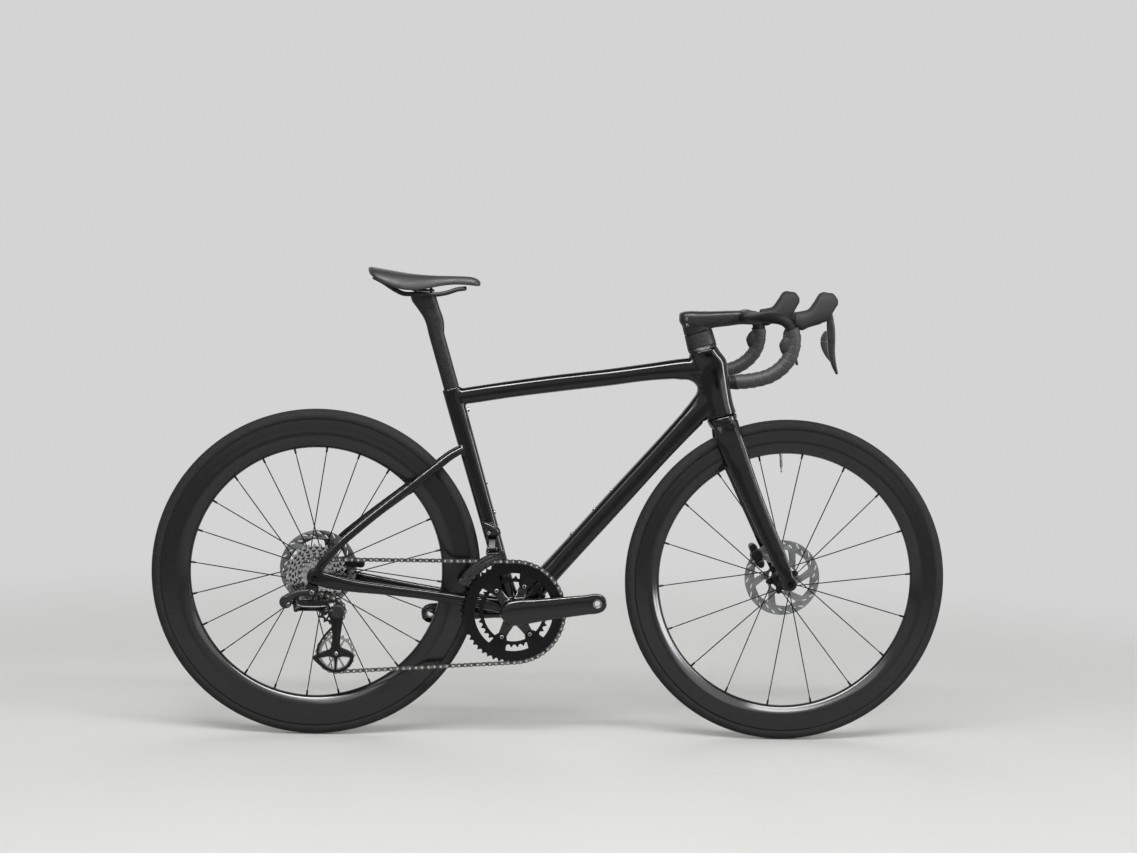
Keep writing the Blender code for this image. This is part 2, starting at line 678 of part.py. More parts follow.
def drop_route(samples, first=4):
    """The round part of the right drop, from a given point of the route to its end."""
    return smooth_route([Vector(station[:3]) for station in bar_route()[first:]], samples)


def mirror_ring(ring):
    return [Vector((point.x, -point.y, point.z)) for point in ring]


def build_handlebar():
    """Aero tops that round off into the drops; the left half mirrors the right."""
    wing = [(Vector(station[:3]), station[3], station[4]) for station in bar_route()[:4]]
    drop = [(point, BAR_RADIUS, BAR_RADIUS) for point in drop_route(15)[0]]
    stations = wing + drop
    points = [station[0] for station in stations]
    frames = carried_frames(points, FORWARD)
    half = [oval(points[i], *frames[i], stations[i][1], stations[i][2], 8, 2.0) for i in range(len(points))]
    rings = [mirror_ring(ring) for ring in reversed(half[1:])] + half
    return loft("handlebar", rings, SATIN_CARBON)


def build_tape(name, side):
    """A strip wound round the drop and the ramp, as one unbroken helix."""
    centres, length = drop_route(120, 7)
    centres.reverse()
    frames = carried_frames(centres, FORWARD)
    stations = TAPE_TURNS * TAPE_STEPS
    width = length / (TAPE_TURNS + 1) - TAPE_GAP
    rings = []
    for k in range(stations + 1):
        turn = tau * k / TAPE_STEPS
        start = (length - width) * k / stations
        corners = []
        for reach, radius in ((0.0, TAPE_INNER), (0.0, TAPE_OUTER - 0.7), (width, TAPE_OUTER), (width, TAPE_INNER)):
            place = (start + reach) / length * (len(centres) - 1)
            j = min(int(place), len(centres) - 2)
            centre = centres[j].lerp(centres[j + 1], place - j)
            first = frames[j][0].lerp(frames[j + 1][0], place - j)
            second = frames[j][1].lerp(frames[j + 1][1], place - j)
            corners.append(centre + (first * cos(turn) + second * sin(turn)) * radius)
        rings.append(corners if side < 0 else mirror_ring(corners))
    gaps = []
    for k in range(stations + 1 - TAPE_STEPS):
        gaps.append((rings[k][3] - rings[k + TAPE_STEPS][0]).length)
        gaps.append((rings[k][2] - rings[k + TAPE_STEPS][1]).length)
    print(name, "turns", TAPE_TURNS, "least gap between turns", round(min(gaps), 2), "mm")
    return loft(name, rings, TAPE_CORK)


# Controls
LEVER_PIVOT = Vector((517.0, -206.5, 903.0))
# Height, middle, half depth and half width of the lever's blade
BLADE = ((906, 520, 6, 4.2), (890, 523, 5.5, 4.2), (872, 524.5, 5.5, 3.6), (850, 524.5, 6, 3.2),
         (825, 526, 5.5, 3.4), (802, 531, 4.5, 3.4), (784, 537.5, 2.2, 2.4))
BLADE_LEAN = 0.06


def sided(point, side):
    return Vector((point[0], -point[1] * side, point[2]))


def build_hood(name, side):
    """Rubber hood over the lever's body, with a tall horn, seated on the bar's bend."""
    # x, half width, top, bottom
    rows = ((452, 14, 903, 874), (466, 15.5, 907, 867), (480, 16, 914, 873), (492, 16, 934, 877),
            (503, 15, 943, 880), (517, 13.5, 943.5, 886), (529, 11, 939.5, 905), (535, 8, 931, 917))
    rings = []
    for x, half, top, low in rows:
        arch = [(0, top), (half * 0.7, top - 3), (half, (top + low) / 2 + 4), (half * 0.85, low + 3), (0, low),
                (-half * 0.85, low + 3), (-half, (top + low) / 2 + 4), (-half * 0.7, top - 3)]
        rings.append([sided((x, -HOOD_HALF_SPACING + y, z), side) for y, z in arch])
    hood = loft(name, rings, RUBBER)
    centres, _ = drop_route(24)
    centres = [sided(centre, side) for centre in centres[:16]]
    frames = carried_frames(centres, FORWARD)
    reach = [BAR_RADIUS + 0.9 if centre.z > 876 else TAPE_OUTER + 0.9 for centre in centres]
    channel = loft(name + "_channel", [oval(centres[i], *frames[i], reach[i], reach[i], 12, 2.0)
                                       for i in range(len(centres))])
    slot = block(name + "_slot", sided((521, LEVER_PIVOT.y - 0.9, 893), side), (32, 11.4, 46))
    return cut(hood, [channel, slot])


def blade_point(height):
    """The blade's middle, half depth and half width at a height, on the right lever."""
    for (z1, x1, d1, w1), (z2, x2, d2, w2) in zip(BLADE, BLADE[1:]):
        if z2 <= height <= z1:
            part = (z1 - height) / (z1 - z2)
            return x1 + (x2 - x1) * part, d1 + (d2 - d1) * part, w1 + (w2 - w1) * part
    return BLADE[0][1:]


def build_lever(name, side):
    """Brake lever blade hung on its pivot at the front of the hood."""
    stations = [(x, (LEVER_PIVOT.y - (906 - z) * BLADE_LEAN) * -side, z, depth, width) for z, x, depth, width in BLADE]
    return loft(name, tube_rings(stations, 8, 2.5), SATIN_CARBON, sided(LEVER_PIVOT, side))


def build_buttons(side, label):
    """Two thin shift paddles behind the blade, each hinged along its front edge."""
    for name, low, high, reach in (("upper", 846.5, 866, 7), ("lower", 820, 845.8, 12)):
        rings = []
        for z in (low, (low + high) / 2, high):
            x, depth, _ = blade_point(z)
            front = x - depth - 0.45
            back = front - reach * (1.0 if low < z < high else 0.55)
            y = LEVER_PIVOT.y - (906 - z) * BLADE_LEAN
            rings.append([sided((px, y + py, z), side) for px, py in ((front, -1.7), (front, 1.7), (back, 1.2), (back, -1.2))])
        x, depth, _ = blade_point((low + high) / 2)
        hinge = sided((x - depth - 1.2, LEVER_PIVOT.y - (906 - (low + high) / 2) * BLADE_LEAN, (low + high) / 2), side)
        loft("shift_button_%s_%s" % (name, label), rings, BLACK_PLASTIC, hinge)


# Fork
def build_fork():
    """Steerer, crown and two aero legs with their dropouts."""
    steerer = rod("fork", steer_point(352), steer_point(STEM_TOP - 6), STEERER_RADIUS, GLOSS_CARBON, 12)
    crown = loft("crown", [
        oval(steer_point(t, (front - rear) / 2), STEER_FORWARD, LEFT, (front + rear) / 2, width, 10, 2.3)
        for t, front, rear, width in ((350, 30, 25, 30), (360, 33, 28, 31), (HEAD_TUBE_LOW, 34, 29, 29))])
    parts = [crown]
    for side in (-1, 1):
        parts.append(loft("leg", tube_rings(mirrored([
            (350, 16, 668, 26, 12), (356, 27, 640, 27, 10), (370, 32.5, 603, 26, 9), (394, 37.5, 546, 22.5, 8),
            (430, 44.6, 466, 19, 7.3), (462, 52, 398, 17.5, 6), (478, 55.8, 362, 15, 4.8),
            (488, 55.8, 336, 12.5, 4.8)], side), 8)))
        parts.append(rod("dropout", FRONT_AXLE + LEFT * side * (FRONT_HUB_WIDTH / 2 + GAP),
                         FRONT_AXLE + LEFT * side * (FRONT_HUB_WIDTH / 2 + 10), 15.5, sides=12))
    fork = join(steerer, parts)
    return cut(fork, [rod("axle_bore_front", FRONT_AXLE - LEFT * 80, FRONT_AXLE + LEFT * 80,
                          AXLE_RADIUS + 0.4, sides=10)])


# Wheels
def build_tyre(name, axle):
    """Road tyre, round in section, with its edges inside the rim's channel."""
    crown, side = TYRE_RADIUS, TYRE_HALF_WIDTH
    profile = [(BEAD_RADIUS + 0.5, 10.3), (324, side), (334, 8.5), (crown, 0), (334, -8.5), (324, -side),
               (BEAD_RADIUS + 0.5, -10.3)]
    return turned(name, profile, axle, LEFT, WHEEL_SIDES, RUBBER)


def build_rim(name, axle, inner):
    """Deep carbon rim with a bead channel that the tyre's edges sit in."""
    edge, half = RIM_EDGE_RADIUS, RIM_HALF_WIDTH
    deep = inner + (edge - inner) * 0.42
    profile = [(edge, half + 0.2), (BEAD_RADIUS, 11.2), (BEAD_RADIUS, -11.2), (edge, -half - 0.2),
               (deep, -half - 1), (inner, 0), (deep, half + 1)]
    return turned(name, profile, axle, LEFT, WHEEL_SIDES, GLOSS_CARBON)


def polygon_radius(radius, sides, angle):
    """The distance to a regular polygon's side, with a corner at angle zero."""
    half = pi / sides
    return radius * cos(half) / cos((angle % (2 * half)) - half)


def spoke(axle, angle, tangent, flange_radius, flange_y, rim_radius):
    """Rings of a bladed spoke from the hub's flange to the rim's inner edge."""
    radial = Vector((cos(angle), 0, sin(angle)))
    across = Vector((-sin(angle), 0, cos(angle)))
    reach = math.sqrt(max(flange_radius ** 2 - tangent ** 2, 1.0))
    start = axle + radial * reach * 0.9 + across * tangent + LEFT * flange_y
    end = axle + radial * (polygon_radius(rim_radius, WHEEL_SIDES, angle) - 0.45)
    along = (end - start).normalized()
    thin = (LEFT - along * LEFT.dot(along)).normalized()
    wide = along.cross(thin)
    return [[point + wide * a * SPOKE_WIDTH / 2 + thin * b * SPOKE_THICKNESS / 2
             for a, b in ((-1, -1), (1, -1), (1, 1), (-1, 1))] for point in (start, end)]


def lace(hub, axle, count, first_angle, step, pattern, rim_radius):
    """Adds the spokes in turn to a hub: pairs that cross on one side, singles on the other."""
    bm = bmesh.new()
    for k in range(count):
        tangent, flange, y = pattern[k % 3]
        add_rings(bm, spoke(axle, first_angle + step * k, tangent, flange, y, rim_radius))
    return join(hub, [link_mesh("spokes", bm, None)])


def build_front_hub():
    """Hub shell with a rotor mount on the left, and its laced spokes."""
    end = FRONT_HUB_WIDTH / 2 - GAP
    profile = [(8.5, end), (19.5, FRONT_ROTOR_Y + 2.4), (15.4, FRONT_ROTOR_Y + 1.2), (15.4, FRONT_ROTOR_Y - 1.2),
               (20, FRONT_ROTOR_Y - 1.3), (23, 25), (23, 19.5), (12, 15), (11, -24),
               (19, -28), (19, -33), (8.5, -end), (AXLE_RADIUS + 0.5, -end), (AXLE_RADIUS + 0.5, end)]
    hub = turned("front_hub", profile, FRONT_AXLE, LEFT, 12, DARK_ALLOY)
    pattern = ((18, 20.5, 22.3 - SPOKE_CROSS), (-18, 20.5, 22.3 + SPOKE_CROSS), (0, 18, -30.5))
    return lace(hub, FRONT_AXLE, FRONT_SPOKES, radians(83.9), -tau / FRONT_SPOKES, pattern, FRONT_RIM_INNER)


def build_rear_hub():
    """Hub shell with a rotor mount on the left; the cassette's carrier is on its right."""
    end = REAR_HUB_WIDTH / 2 - GAP
    profile = [(9, end), (19.5, REAR_ROTOR_Y + 2.4), (15.4, REAR_ROTOR_Y + 1.2), (15.4, REAR_ROTOR_Y - 1.2),
               (20, REAR_ROTOR_Y - 1.3), (23, 41), (23, 36), (13, 30), (13, -7),
               (24, -12.5), (24, -18.5), (17, -21), (AXLE_RADIUS + 0.5, -21), (AXLE_RADIUS + 0.5, end)]
    hub = turned("rear_hub", profile, REAR_AXLE, LEFT, 12, DARK_ALLOY)
    pattern = ((19, 21.5, -15.5 + SPOKE_CROSS), (-19, 21.5, -15.5 - SPOKE_CROSS), (0, 21, 38.5))
    return lace(hub, REAR_AXLE, REAR_SPOKES, radians(-3.7), tau / REAR_SPOKES, pattern, REAR_RIM_INNER)


def build_rotor(name, axle, y):
    """Brake disc: a slotted band on slanted arms round a splined centre."""
    x0, z0 = axle.x, axle.z
    outlines = [circle((x0, z0), ROTOR_RADIUS, 28), circle((x0, z0), 16.4, 10)]
    for k in range(ROTOR_ARMS):
        start = tau * k / ROTOR_ARMS
        width = tau / ROTOR_ARMS
        corners = ((0.10, 27), (0.82, 27), (1.12, 60), (0.74, 62), (0.36, 60))
        outlines.append([(x0 + r * cos(start + width * f), z0 + r * sin(start + width * f)) for f, r in corners])
    for k in range(ROTOR_SLOTS):
        turn = tau * k / ROTOR_SLOTS
        corners = ((0.0, 66.0), (0.10, 66.0), (0.36, 77.0), (0.26, 77.0))
        outlines.append([(x0 + r * cos(turn + f), z0 + r * sin(turn + f)) for f, r in corners])
    return plate(name, outlines, y, ROTOR_THICKNESS, BRIGHT_STEEL, Vector((x0, y, z0)))


def build_axle(name, axle, width):
    """Thru axle with a low round head on the left, threaded into the right dropout."""
    head, end = width / 2 + 10.4, -(width / 2 + 7)
    return turned(name, [(8.5, head + 2.5), (8.5, head), (AXLE_RADIUS, head), (AXLE_RADIUS, end), (2.5, end),
                         (2.5, head + 2.5)], axle, LEFT, 10, DARK_ALLOY)


# Drivetrain
def build_cassette():
    """Toothed sprockets on a stepped carrier that turns with the freehub body."""
    bm = bmesh.new()
    axle = flat_centre(REAR_AXLE)
    bore, last_radius = AXLE_RADIUS + 1.2, 28.0
    right_end, left_end = CHAIN_Y - CHAIN_COG * COG_STEP - 3.5, -21.5
    carrier = flat_loop(bm, circle(axle, 14.0, 7), right_end)
    first_bore = flat_loop(bm, circle(axle, bore, 7), right_end)
    washer(bm, carrier, first_bore)
    for i, teeth in enumerate(COG_TEETH):
        y = CHAIN_Y + (i - CHAIN_COG) * COG_STEP
        phase = PHASES["cog"] + (0 if i == CHAIN_COG else i * 0.37)
        radius = 14.0 if i == 0 else pitch_radius(COG_TEETH[i - 1]) - 6.0
        near = flat_loop(bm, circle(axle, radius, 7), y - COG_THICKNESS / 2)
        wall(bm, carrier, near)
        sides = toothed_rim(bm, REAR_AXLE, teeth, phase, y, COG_THICKNESS / 2)
        washer(bm, sides[0], near)
        radius = last_radius if i == len(COG_TEETH) - 1 else pitch_radius(teeth) - 6.0
        carrier = flat_loop(bm, circle(axle, radius, 7), y + COG_THICKNESS / 2)
        washer(bm, sides[1], carrier)
    last = flat_loop(bm, circle(axle, last_radius, 7), left_end)
    wall(bm, carrier, last)
    last_bore = flat_loop(bm, circle(axle, bore, 7), left_end)
    washer(bm, last, last_bore)
    wall(bm, first_bore, last_bore)
    return link_mesh("cassette", bm, BRIGHT_STEEL, REAR_AXLE)


def build_chain():
    """Roller chain as one ribbon of plates, grooved where it sits on the teeth."""
    count = len(PINS)
    wheels = ((REAR_AXLE, COG_TEETH[CHAIN_COG]), (BB, OUTER_TEETH), (GUIDE_CENTRE, GUIDE_TEETH),
              (TENSION_CENTRE, TENSION_TEETH))

    def on_wheel(pin):
        return any(abs(hypot(pin[0] - w.x, pin[1] - w.z) - pitch_radius(teeth)) < 0.5 for w, teeth in wheels)

    rings = []
    for i in range(count):
        here = Vector((PINS[i][0], 0, PINS[i][1]))
        ahead = Vector((PINS[(i + 1) % count][0], 0, PINS[(i + 1) % count][1]))
        behind = Vector((PINS[i - 1][0], 0, PINS[i - 1][1]))
        waist_width = CHAIN_HALF_WIDTH if i % 2 == 0 else CHAIN_WAIST_WIDTH
        stations = [(here, (ahead - behind).normalized(), 4.2, CHAIN_HALF_WIDTH)]
        if not (on_wheel(PINS[i]) and on_wheel(PINS[(i + 1) % count])):
            stations.append(((here + ahead) / 2, (ahead - here).normalized(), 3.0, waist_width))
        for centre, along, height, width in stations:
            across = LEFT.cross(along)
            middle = centre + LEFT * CHAIN_Y
            rings.append([middle + across * a * height + LEFT * b * width
                          for a, b in ((-1, -1), (1, -1), (1, 1), (-1, 1))])
    chain = loft("chain", rings, CHAIN_STEEL, closed_path=True)
    grooves = []
    for name, centre, teeth in (("cog", REAR_AXLE, COG_TEETH[CHAIN_COG]), ("ring", BB, OUTER_TEETH),
                                ("guide", GUIDE_CENTRE, GUIDE_TEETH), ("tension", TENSION_CENTRE, TENSION_TEETH)):
        corner = (pitch_radius(teeth) + TOOTH_TIP + 0.35) / cos(pi / teeth)
        grooves.append(plate(name + "_groove", [circle(flat_centre(centre), corner, teeth, PHASES[name])],
                             CHAIN_Y, 2.6, one_face=True))
    return cut(chain, grooves)


SPIDER_ANGLES = [radians(a) for a in (8 + 61, 8 + 122, 8 - 122, 8 - 61)]
BOLT_CIRCLE = 55.0


def build_chainring(name, teeth, y, inner):
    """A toothed ring with four tabs that bolt to the ends of the crank's spider."""
    bm = bmesh.new()
    sides = toothed_rim(bm, BB, teeth, PHASES["ring"] if teeth == OUTER_TEETH else 0.05, y, TOOTH_THICKNESS / 2)
    bores = [flat_loop(bm, circle(flat_centre(BB), inner, 24), y + side * TOOTH_THICKNESS / 2) for side in (-1, 1)]
    for outer_loop, bore in zip(sides, bores):
        washer(bm, outer_loop, bore)
    wall(bm, *bores)
    ring = link_mesh(name, bm, DARK_ALLOY, Vector((BB.x, y, BB.z)))
    tabs = []
    for angle in SPIDER_ANGLES:
        radial = Vector((cos(angle), 0, sin(angle)))
        across = Vector((-sin(angle), 0, cos(angle)))
        low, high = BOLT_CIRCLE - 4, inner + 4
        middle = BB + radial * (low + high) / 2
        middle.y = y
        tabs.append(block("tab", middle, (high - low, TOOTH_THICKNESS - 0.3, 20), axes=(radial, LEFT, across)))
    return join(ring, tabs)


def crank_point(distance, side, across=0.0, y=0.0):
    angle = CRANK_ANGLE + (0.0 if side < 0 else pi)
    radial = Vector((cos(angle), 0, sin(angle)))
    up = Vector((-sin(angle), 0, cos(angle)))
    return BB + radial * distance + up * across + LEFT * y


def build_crank(name, side):
    """Forged arm: wide at the axle, waisted, and rounded off at the pedal eye."""
    rows = ((-25, 15, 9, -54), (-14, 23, 10.5, -55), (8, 26.5, 11, -56), (45, 24.5, 10, -58.5), (100, 22, 8, -62.5),
            (150, 20.5, 6.8, -66.02), (177, 19.5, 6.4, -66.4), (186, 14, 6.2, -66.4), (190, 7, 6, -66.4))
    radial = (crank_point(1, side) - BB).normalized()
    up = radial.cross(LEFT)
    rings = [oval(crank_point(distance, side, 0.0, -y * side), up, LEFT, half, thick, 8, 3.0)
             for distance, half, thick, y in rows]
    arm = loft(name, rings, GLOSS_CARBON, BB)
    parts = []
    if side < 0:
        parts.append(rod("spindle", BB + LEFT * -57, BB + LEFT * 50, 12.0, sides=12))
        parts.append(rod("spider_hub", BB + LEFT * -43.2, BB + LEFT * -56.3, 25.4, sides=16))
        for angle in SPIDER_ANGLES:
            along = Vector((cos(angle), 0, sin(angle)))
            across = Vector((-sin(angle), 0, cos(angle)))
            low, high = INNER_RING_Y - TOOTH_THICKNESS / 2 - GAP, CHAIN_Y + TOOTH_THICKNESS / 2 + GAP
            rings = []
            for distance, half, near, far in ((16, 13, -55, -44.2), (36, 11, -50, -43.2), (48, 10.5, high, low),
                                              (64, 9.5, high, low)):
                centre = BB + along * distance + LEFT * (near + far) / 2
                rings.append([centre + across * a * half + LEFT * b * abs(far - near) / 2
                              for a, b in ((-1, -1), (1, -1), (1, 1), (-1, 1))])
            parts.append(loft("spider_arm", rings))
    else:
        parts.append(rod("crank_boss", BB + LEFT * 43.2, BB + LEFT * 57, 20.5, sides=16))
    join(arm, parts)
    holes = [rod("pedal_hole", crank_point(CRANK_LENGTH, side, 0, 50 * side), crank_point(CRANK_LENGTH, side, 0, 90 * side),
                 PEDAL_HOLE_RADIUS, sides=12)]
    if side > 0:
        holes.append(rod("spindle_hole", BB + LEFT * 40, BB + LEFT * 50.5, 12.0 + GAP, sides=12))
    return cut(arm, holes)


def build_bottom_bracket():
    """Bearing cups pressed into the shell, one on each side."""
    for name, side in (("bottom_bracket_cup_right", -1), ("bottom_bracket_cup_left", 1)):
        turned(name, [(20.5, 42.0), (20.5, 34.4), (17.3, 34.4), (17.3, 24), (12.8, 24), (12.8, 42.0)], BB, LEFT * side,
               12, DARK_ALLOY)


# Rear derailleur
HANGER_BOLT = Vector((-494.0, -79.1, 309.0))
BODY_PIVOT = Vector((-523.0, -88.0, 284.0))
LINK = Vector((55.0, 19.0, -2.0))
SHIFT_TRAVEL = Vector((-0.25, 0.70, -0.67))
LINK_AXIS = LINK.cross(SHIFT_TRAVEL).normalized()
LINK_OFFSET = LINK_AXIS.cross(LINK).normalized() * 12.5
LINK_HALF_HEIGHT = 8.0
EYE_RADIUS = 5.0
CAGE_OFFSET = 5.3


def build_hanger():
    """Replaceable hanger under the right dropout."""
    outline = [(-504, 328), (-508, 312), (-503, 300), (-494, 296.5), (-485, 300), (-481, 308), (-481, 317), (-489, 320.2),
               (-497, 321.5)]
    return plate("derailleur_hanger", [outline], -75.3, 7.0, DARK_ALLOY)


def pivot_drum(name, centre, low, high, radius, sides=10):
    return rod(name, centre + LINK_AXIS * low, centre + LINK_AXIS * high, radius, sides=sides)


def build_rear_derailleur():
    """Parallelogram derailleur: bracket, two links, knuckle, cage and two toothed wheels."""
    reach = LINK_HALF_HEIGHT + 0.5
    bracket = rod("rear_derailleur_bracket", HANGER_BOLT - LEFT * 0.3, HANGER_BOLT - LEFT * 12, 7.6, BLACK_PLASTIC, 12)
    arm = loft("bracket_arm", tube_rings([
        (-488, -85, 309.5, 5.5, 4.5), (-508, -85.5, 309, 5.5, 5), (-527, -85, 304, 7.5, 6), (-543, -84, 295, 9, 8)],
        8, 2.8))
    lobe = rod("motor_lobe", (-546, -76, 288), (-546, -92, 288), 13, sides=12)
    lugs = [pivot_drum("lug", base, reach, reach + 7, 6.0) for base in (BODY_PIVOT, BODY_PIVOT + LINK_OFFSET)]
    middle = BODY_PIVOT + LINK_AXIS * (reach + 3.5)
    bridge = rod("lug_bridge", middle - LINK_OFFSET * 0.3, middle + LINK_OFFSET * 1.3, 3.3, sides=8)
    join(bracket, [arm, lobe] + lugs + [bridge])
    for name, base, height, thick in (("rear_derailleur_outer_link", BODY_PIVOT, LINK_HALF_HEIGHT, 6.0),
                                      ("rear_derailleur_inner_link", BODY_PIVOT + LINK_OFFSET, LINK_HALF_HEIGHT, 4.5)):
        link = pivot_drum(name, base, -height, height, EYE_RADIUS)
        link.data.materials.append(BLACK_PLASTIC)
        web = block("web", base + LINK / 2, (LINK.length, thick, 2 * height - 0.8),
                    axes=(LINK.normalized(), LINK_OFFSET.normalized(), LINK_AXIS))
        join(link, [web, pivot_drum("eye", base + LINK, -height, height, EYE_RADIUS)])
        move_origin(link, base)
    knuckle = rod("rear_derailleur_knuckle", (CAGE_PIVOT.x, CHAIN_Y - 7.6, CAGE_PIVOT.z),
                  (CAGE_PIVOT.x, CHAIN_Y - 24.0, CAGE_PIVOT.z), 14.5, BLACK_PLASTIC, 14)
    lugs = [pivot_drum("lug", base, -reach - 8, -reach, 6.0) for base in (BODY_PIVOT + LINK, BODY_PIVOT + LINK + LINK_OFFSET)]
    under = BODY_PIVOT + LINK - LINK_AXIS * (reach + 4.2)
    bridge = rod("lug_bridge", under - LINK_OFFSET * 0.3, under + LINK_OFFSET * 1.3, 3.4, sides=8)
    arm = rod("knuckle_arm", under + LINK_OFFSET * 0.35, (CAGE_PIVOT.x, CHAIN_Y - 16, CAGE_PIVOT.z - 1), 4.0, sides=8)
    join(knuckle, lugs + [bridge, arm])
    move_origin(knuckle, BODY_PIVOT + LINK)
    build_cage()


def build_cage():
    """Two cage plates round the toothed wheels, held apart by the wheels' bolts."""
    px, pz = CAGE_PIVOT.x, CAGE_PIVOT.z
    gx, gz = flat_centre(GUIDE_CENTRE)
    tx, tz = flat_centre(TENSION_CENTRE)
    outline = [(gx - 6, gz + 7), (px + 4, pz + 12), (px + 13, pz + 4), (px + 12, pz - 12), (px + 7, tz + 36), (px + 6, tz + 12),
               (tx + 22, tz + 7), (tx + 38, tz - 2), (tx + 33, tz - 22), (tx + 15, tz - 38), (tx - 8, tz - 40),
               (tx - 30, tz - 28), (tx - 51, tz - 9), (tx - 28, tz + 3), (tx - 12, tz + 7), (tx - 8, tz + 36), (px - 14, pz - 18),
               (gx - 9, gz - 5)]
    left_window = [(tx - 30, tz - 11), (tx - 14, tz - 8), (tx - 4, tz - 13), (tx - 4, tz - 29), (tx - 20, tz - 22)]
    right_window = [(tx + 4, tz - 13), (tx + 14, tz - 8), (tx + 27, tz - 9), (tx + 22, tz - 22), (tx + 4, tz - 29)]
    outer = plate("rear_derailleur_cage", [outline, left_window, right_window], CHAIN_Y - CAGE_OFFSET, 1.6, DARK_ALLOY,
                  Vector((px, CHAIN_Y - CAGE_OFFSET, pz)))
    inner = plate("cage_inner", [outline], CHAIN_Y + CAGE_OFFSET, 1.6)
    bolts = [rod("wheel_bolt", centre - LEFT * (CAGE_OFFSET + 1.6), centre + LEFT * (CAGE_OFFSET + 1.6), 3.6, sides=8)
             for centre in (GUIDE_CENTRE, TENSION_CENTRE)]
    join(outer, [inner] + bolts)
    build_pulley("guide_pulley", GUIDE_CENTRE, GUIDE_TEETH, PHASES["guide"])
    build_pulley("tension_pulley", TENSION_CENTRE, TENSION_TEETH, PHASES["tension"])


def build_pulley(name, centre, teeth, phase):
    """A toothed wheel of the cage, thicker at its hub."""
    bm = bmesh.new()
    sides = toothed_rim(bm, centre, teeth, phase, centre.y, TOOTH_THICKNESS / 2)
    bores = []
    for loop, side in zip(sides, (-1, 1)):
        foot = flat_loop(bm, circle(flat_centre(centre), 9.0, 8), centre.y + side * TOOTH_THICKNESS / 2)
        face = flat_loop(bm, circle(flat_centre(centre), 9.0, 8), centre.y + side * 3.6)
        bore = flat_loop(bm, circle(flat_centre(centre), 4.4, 8), centre.y + side * 3.6)
        washer(bm, loop, foot)
        wall(bm, foot, face)
        washer(bm, face, bore)
        bores.append(bore)
    wall(bm, *bores)
    return link_mesh(name, bm, BLACK_PLASTIC, centre)


# Front derailleur
FD_BODY_PIVOT = Vector((-130.0, -32.0, 416.0))
FD_LINK = Vector((0.0, -12.0, -17.0))
FD_INNER_OFFSET = Vector((0.0, 9.0, -4.0))
FD_CAGE_GAP = 6.4
FD_LINK_HALF = 7.0


def build_front_derailleur():
    """Motor body on the seat tube, two links, and a cage over the big ring."""
    body = block("front_derailleur_body", (-134, -33, 437), (42, 21, 31), BLACK_PLASTIC,
                 axes=(SEAT_FORWARD, LEFT, SEAT_UP), bevel=4.0)
    mount = block("mount_plate", seat_point(176, 2, -20.0), (15, 7.4, 26), axes=(SEAT_FORWARD, LEFT, SEAT_UP))
    lugs = []
    for pivot in (FD_BODY_PIVOT, FD_BODY_PIVOT + FD_INNER_OFFSET):
        for side in (-1, 1):
            low, high = pivot.z - 3.4, 433.0
            lugs.append(block("body_lug", Vector((pivot.x + side * (FD_LINK_HALF + 2.4), pivot.y, (low + high) / 2)),
                              (4, 6, high - low)))
    join(body, [mount] + lugs)
    inner, outer = CHAIN_Y + FD_CAGE_GAP, CHAIN_Y - FD_CAGE_GAP
    radius = pitch_radius(OUTER_TEETH)

    def sector(low, high):
        """An outline that follows the ring from just past its top to its rear."""
        angles = [radians(101 + 51 * k / 5) for k in range(6)]
        far = [(BB.x + high * cos(a), BB.z + high * sin(a)) for a in angles]
        near = [(BB.x + low * cos(a), BB.z + low * sin(a)) for a in reversed(angles)]
        return far + near

    cage = plate("front_derailleur_cage", [sector(radius + 8, radius + 25)], outer, 1.6, BRIGHT_STEEL)
    middle = FD_BODY_PIVOT + FD_LINK + FD_INNER_OFFSET / 2
    parts = [plate("cage_inner", [sector(radius + 1, radius + 25)], inner, 1.6)]
    for angle in (radians(102.5), radians(150.5)):
        along = Vector((cos(angle), 0, sin(angle)))
        parts.append(block("bridge", BB + along * (radius + 23) + LEFT * CHAIN_Y, (7.0, 2 * FD_CAGE_GAP + 2.6, 9.0),
                           axes=(along, LEFT, along.cross(LEFT))))
    for pivot in (FD_BODY_PIVOT + FD_LINK, FD_BODY_PIVOT + FD_LINK + FD_INNER_OFFSET):
        for side in (-1, 1):
            low = BB.z + radius + 15
            parts.append(block("cage_lug", Vector((pivot.x + side * (FD_LINK_HALF + 2.4), pivot.y, (low + pivot.z + 3) / 2)),
                               (4, 6, pivot.z + 3 - low)))
    parts.append(block("cage_saddle", Vector((middle.x, (pivot.y + outer) / 2, BB.z + radius + 16)),
                       (2 * FD_LINK_HALF + 11, abs(pivot.y - outer) + 7, 4)))
    join(cage, parts)
    for name, base in (("front_derailleur_outer_link", FD_BODY_PIVOT),
                       ("front_derailleur_inner_link", FD_BODY_PIVOT + FD_INNER_OFFSET)):
        along = FD_LINK.normalized()
        across = FORWARD.cross(along)
        ends = [oval(base + FD_LINK / 2 + FORWARD * x * FD_LINK_HALF, along, across, FD_LINK.length / 2 + 2.6, 2.4, 8, 2.6)
                for x in (-1, 1)]
        loft(name, ends, BLACK_PLASTIC, base)
    move_origin(cage, FD_BODY_PIVOT + FD_LINK)


# Brakes
CALIPER_LENGTH = 56.0
CALIPER_DEPTH = 25.0


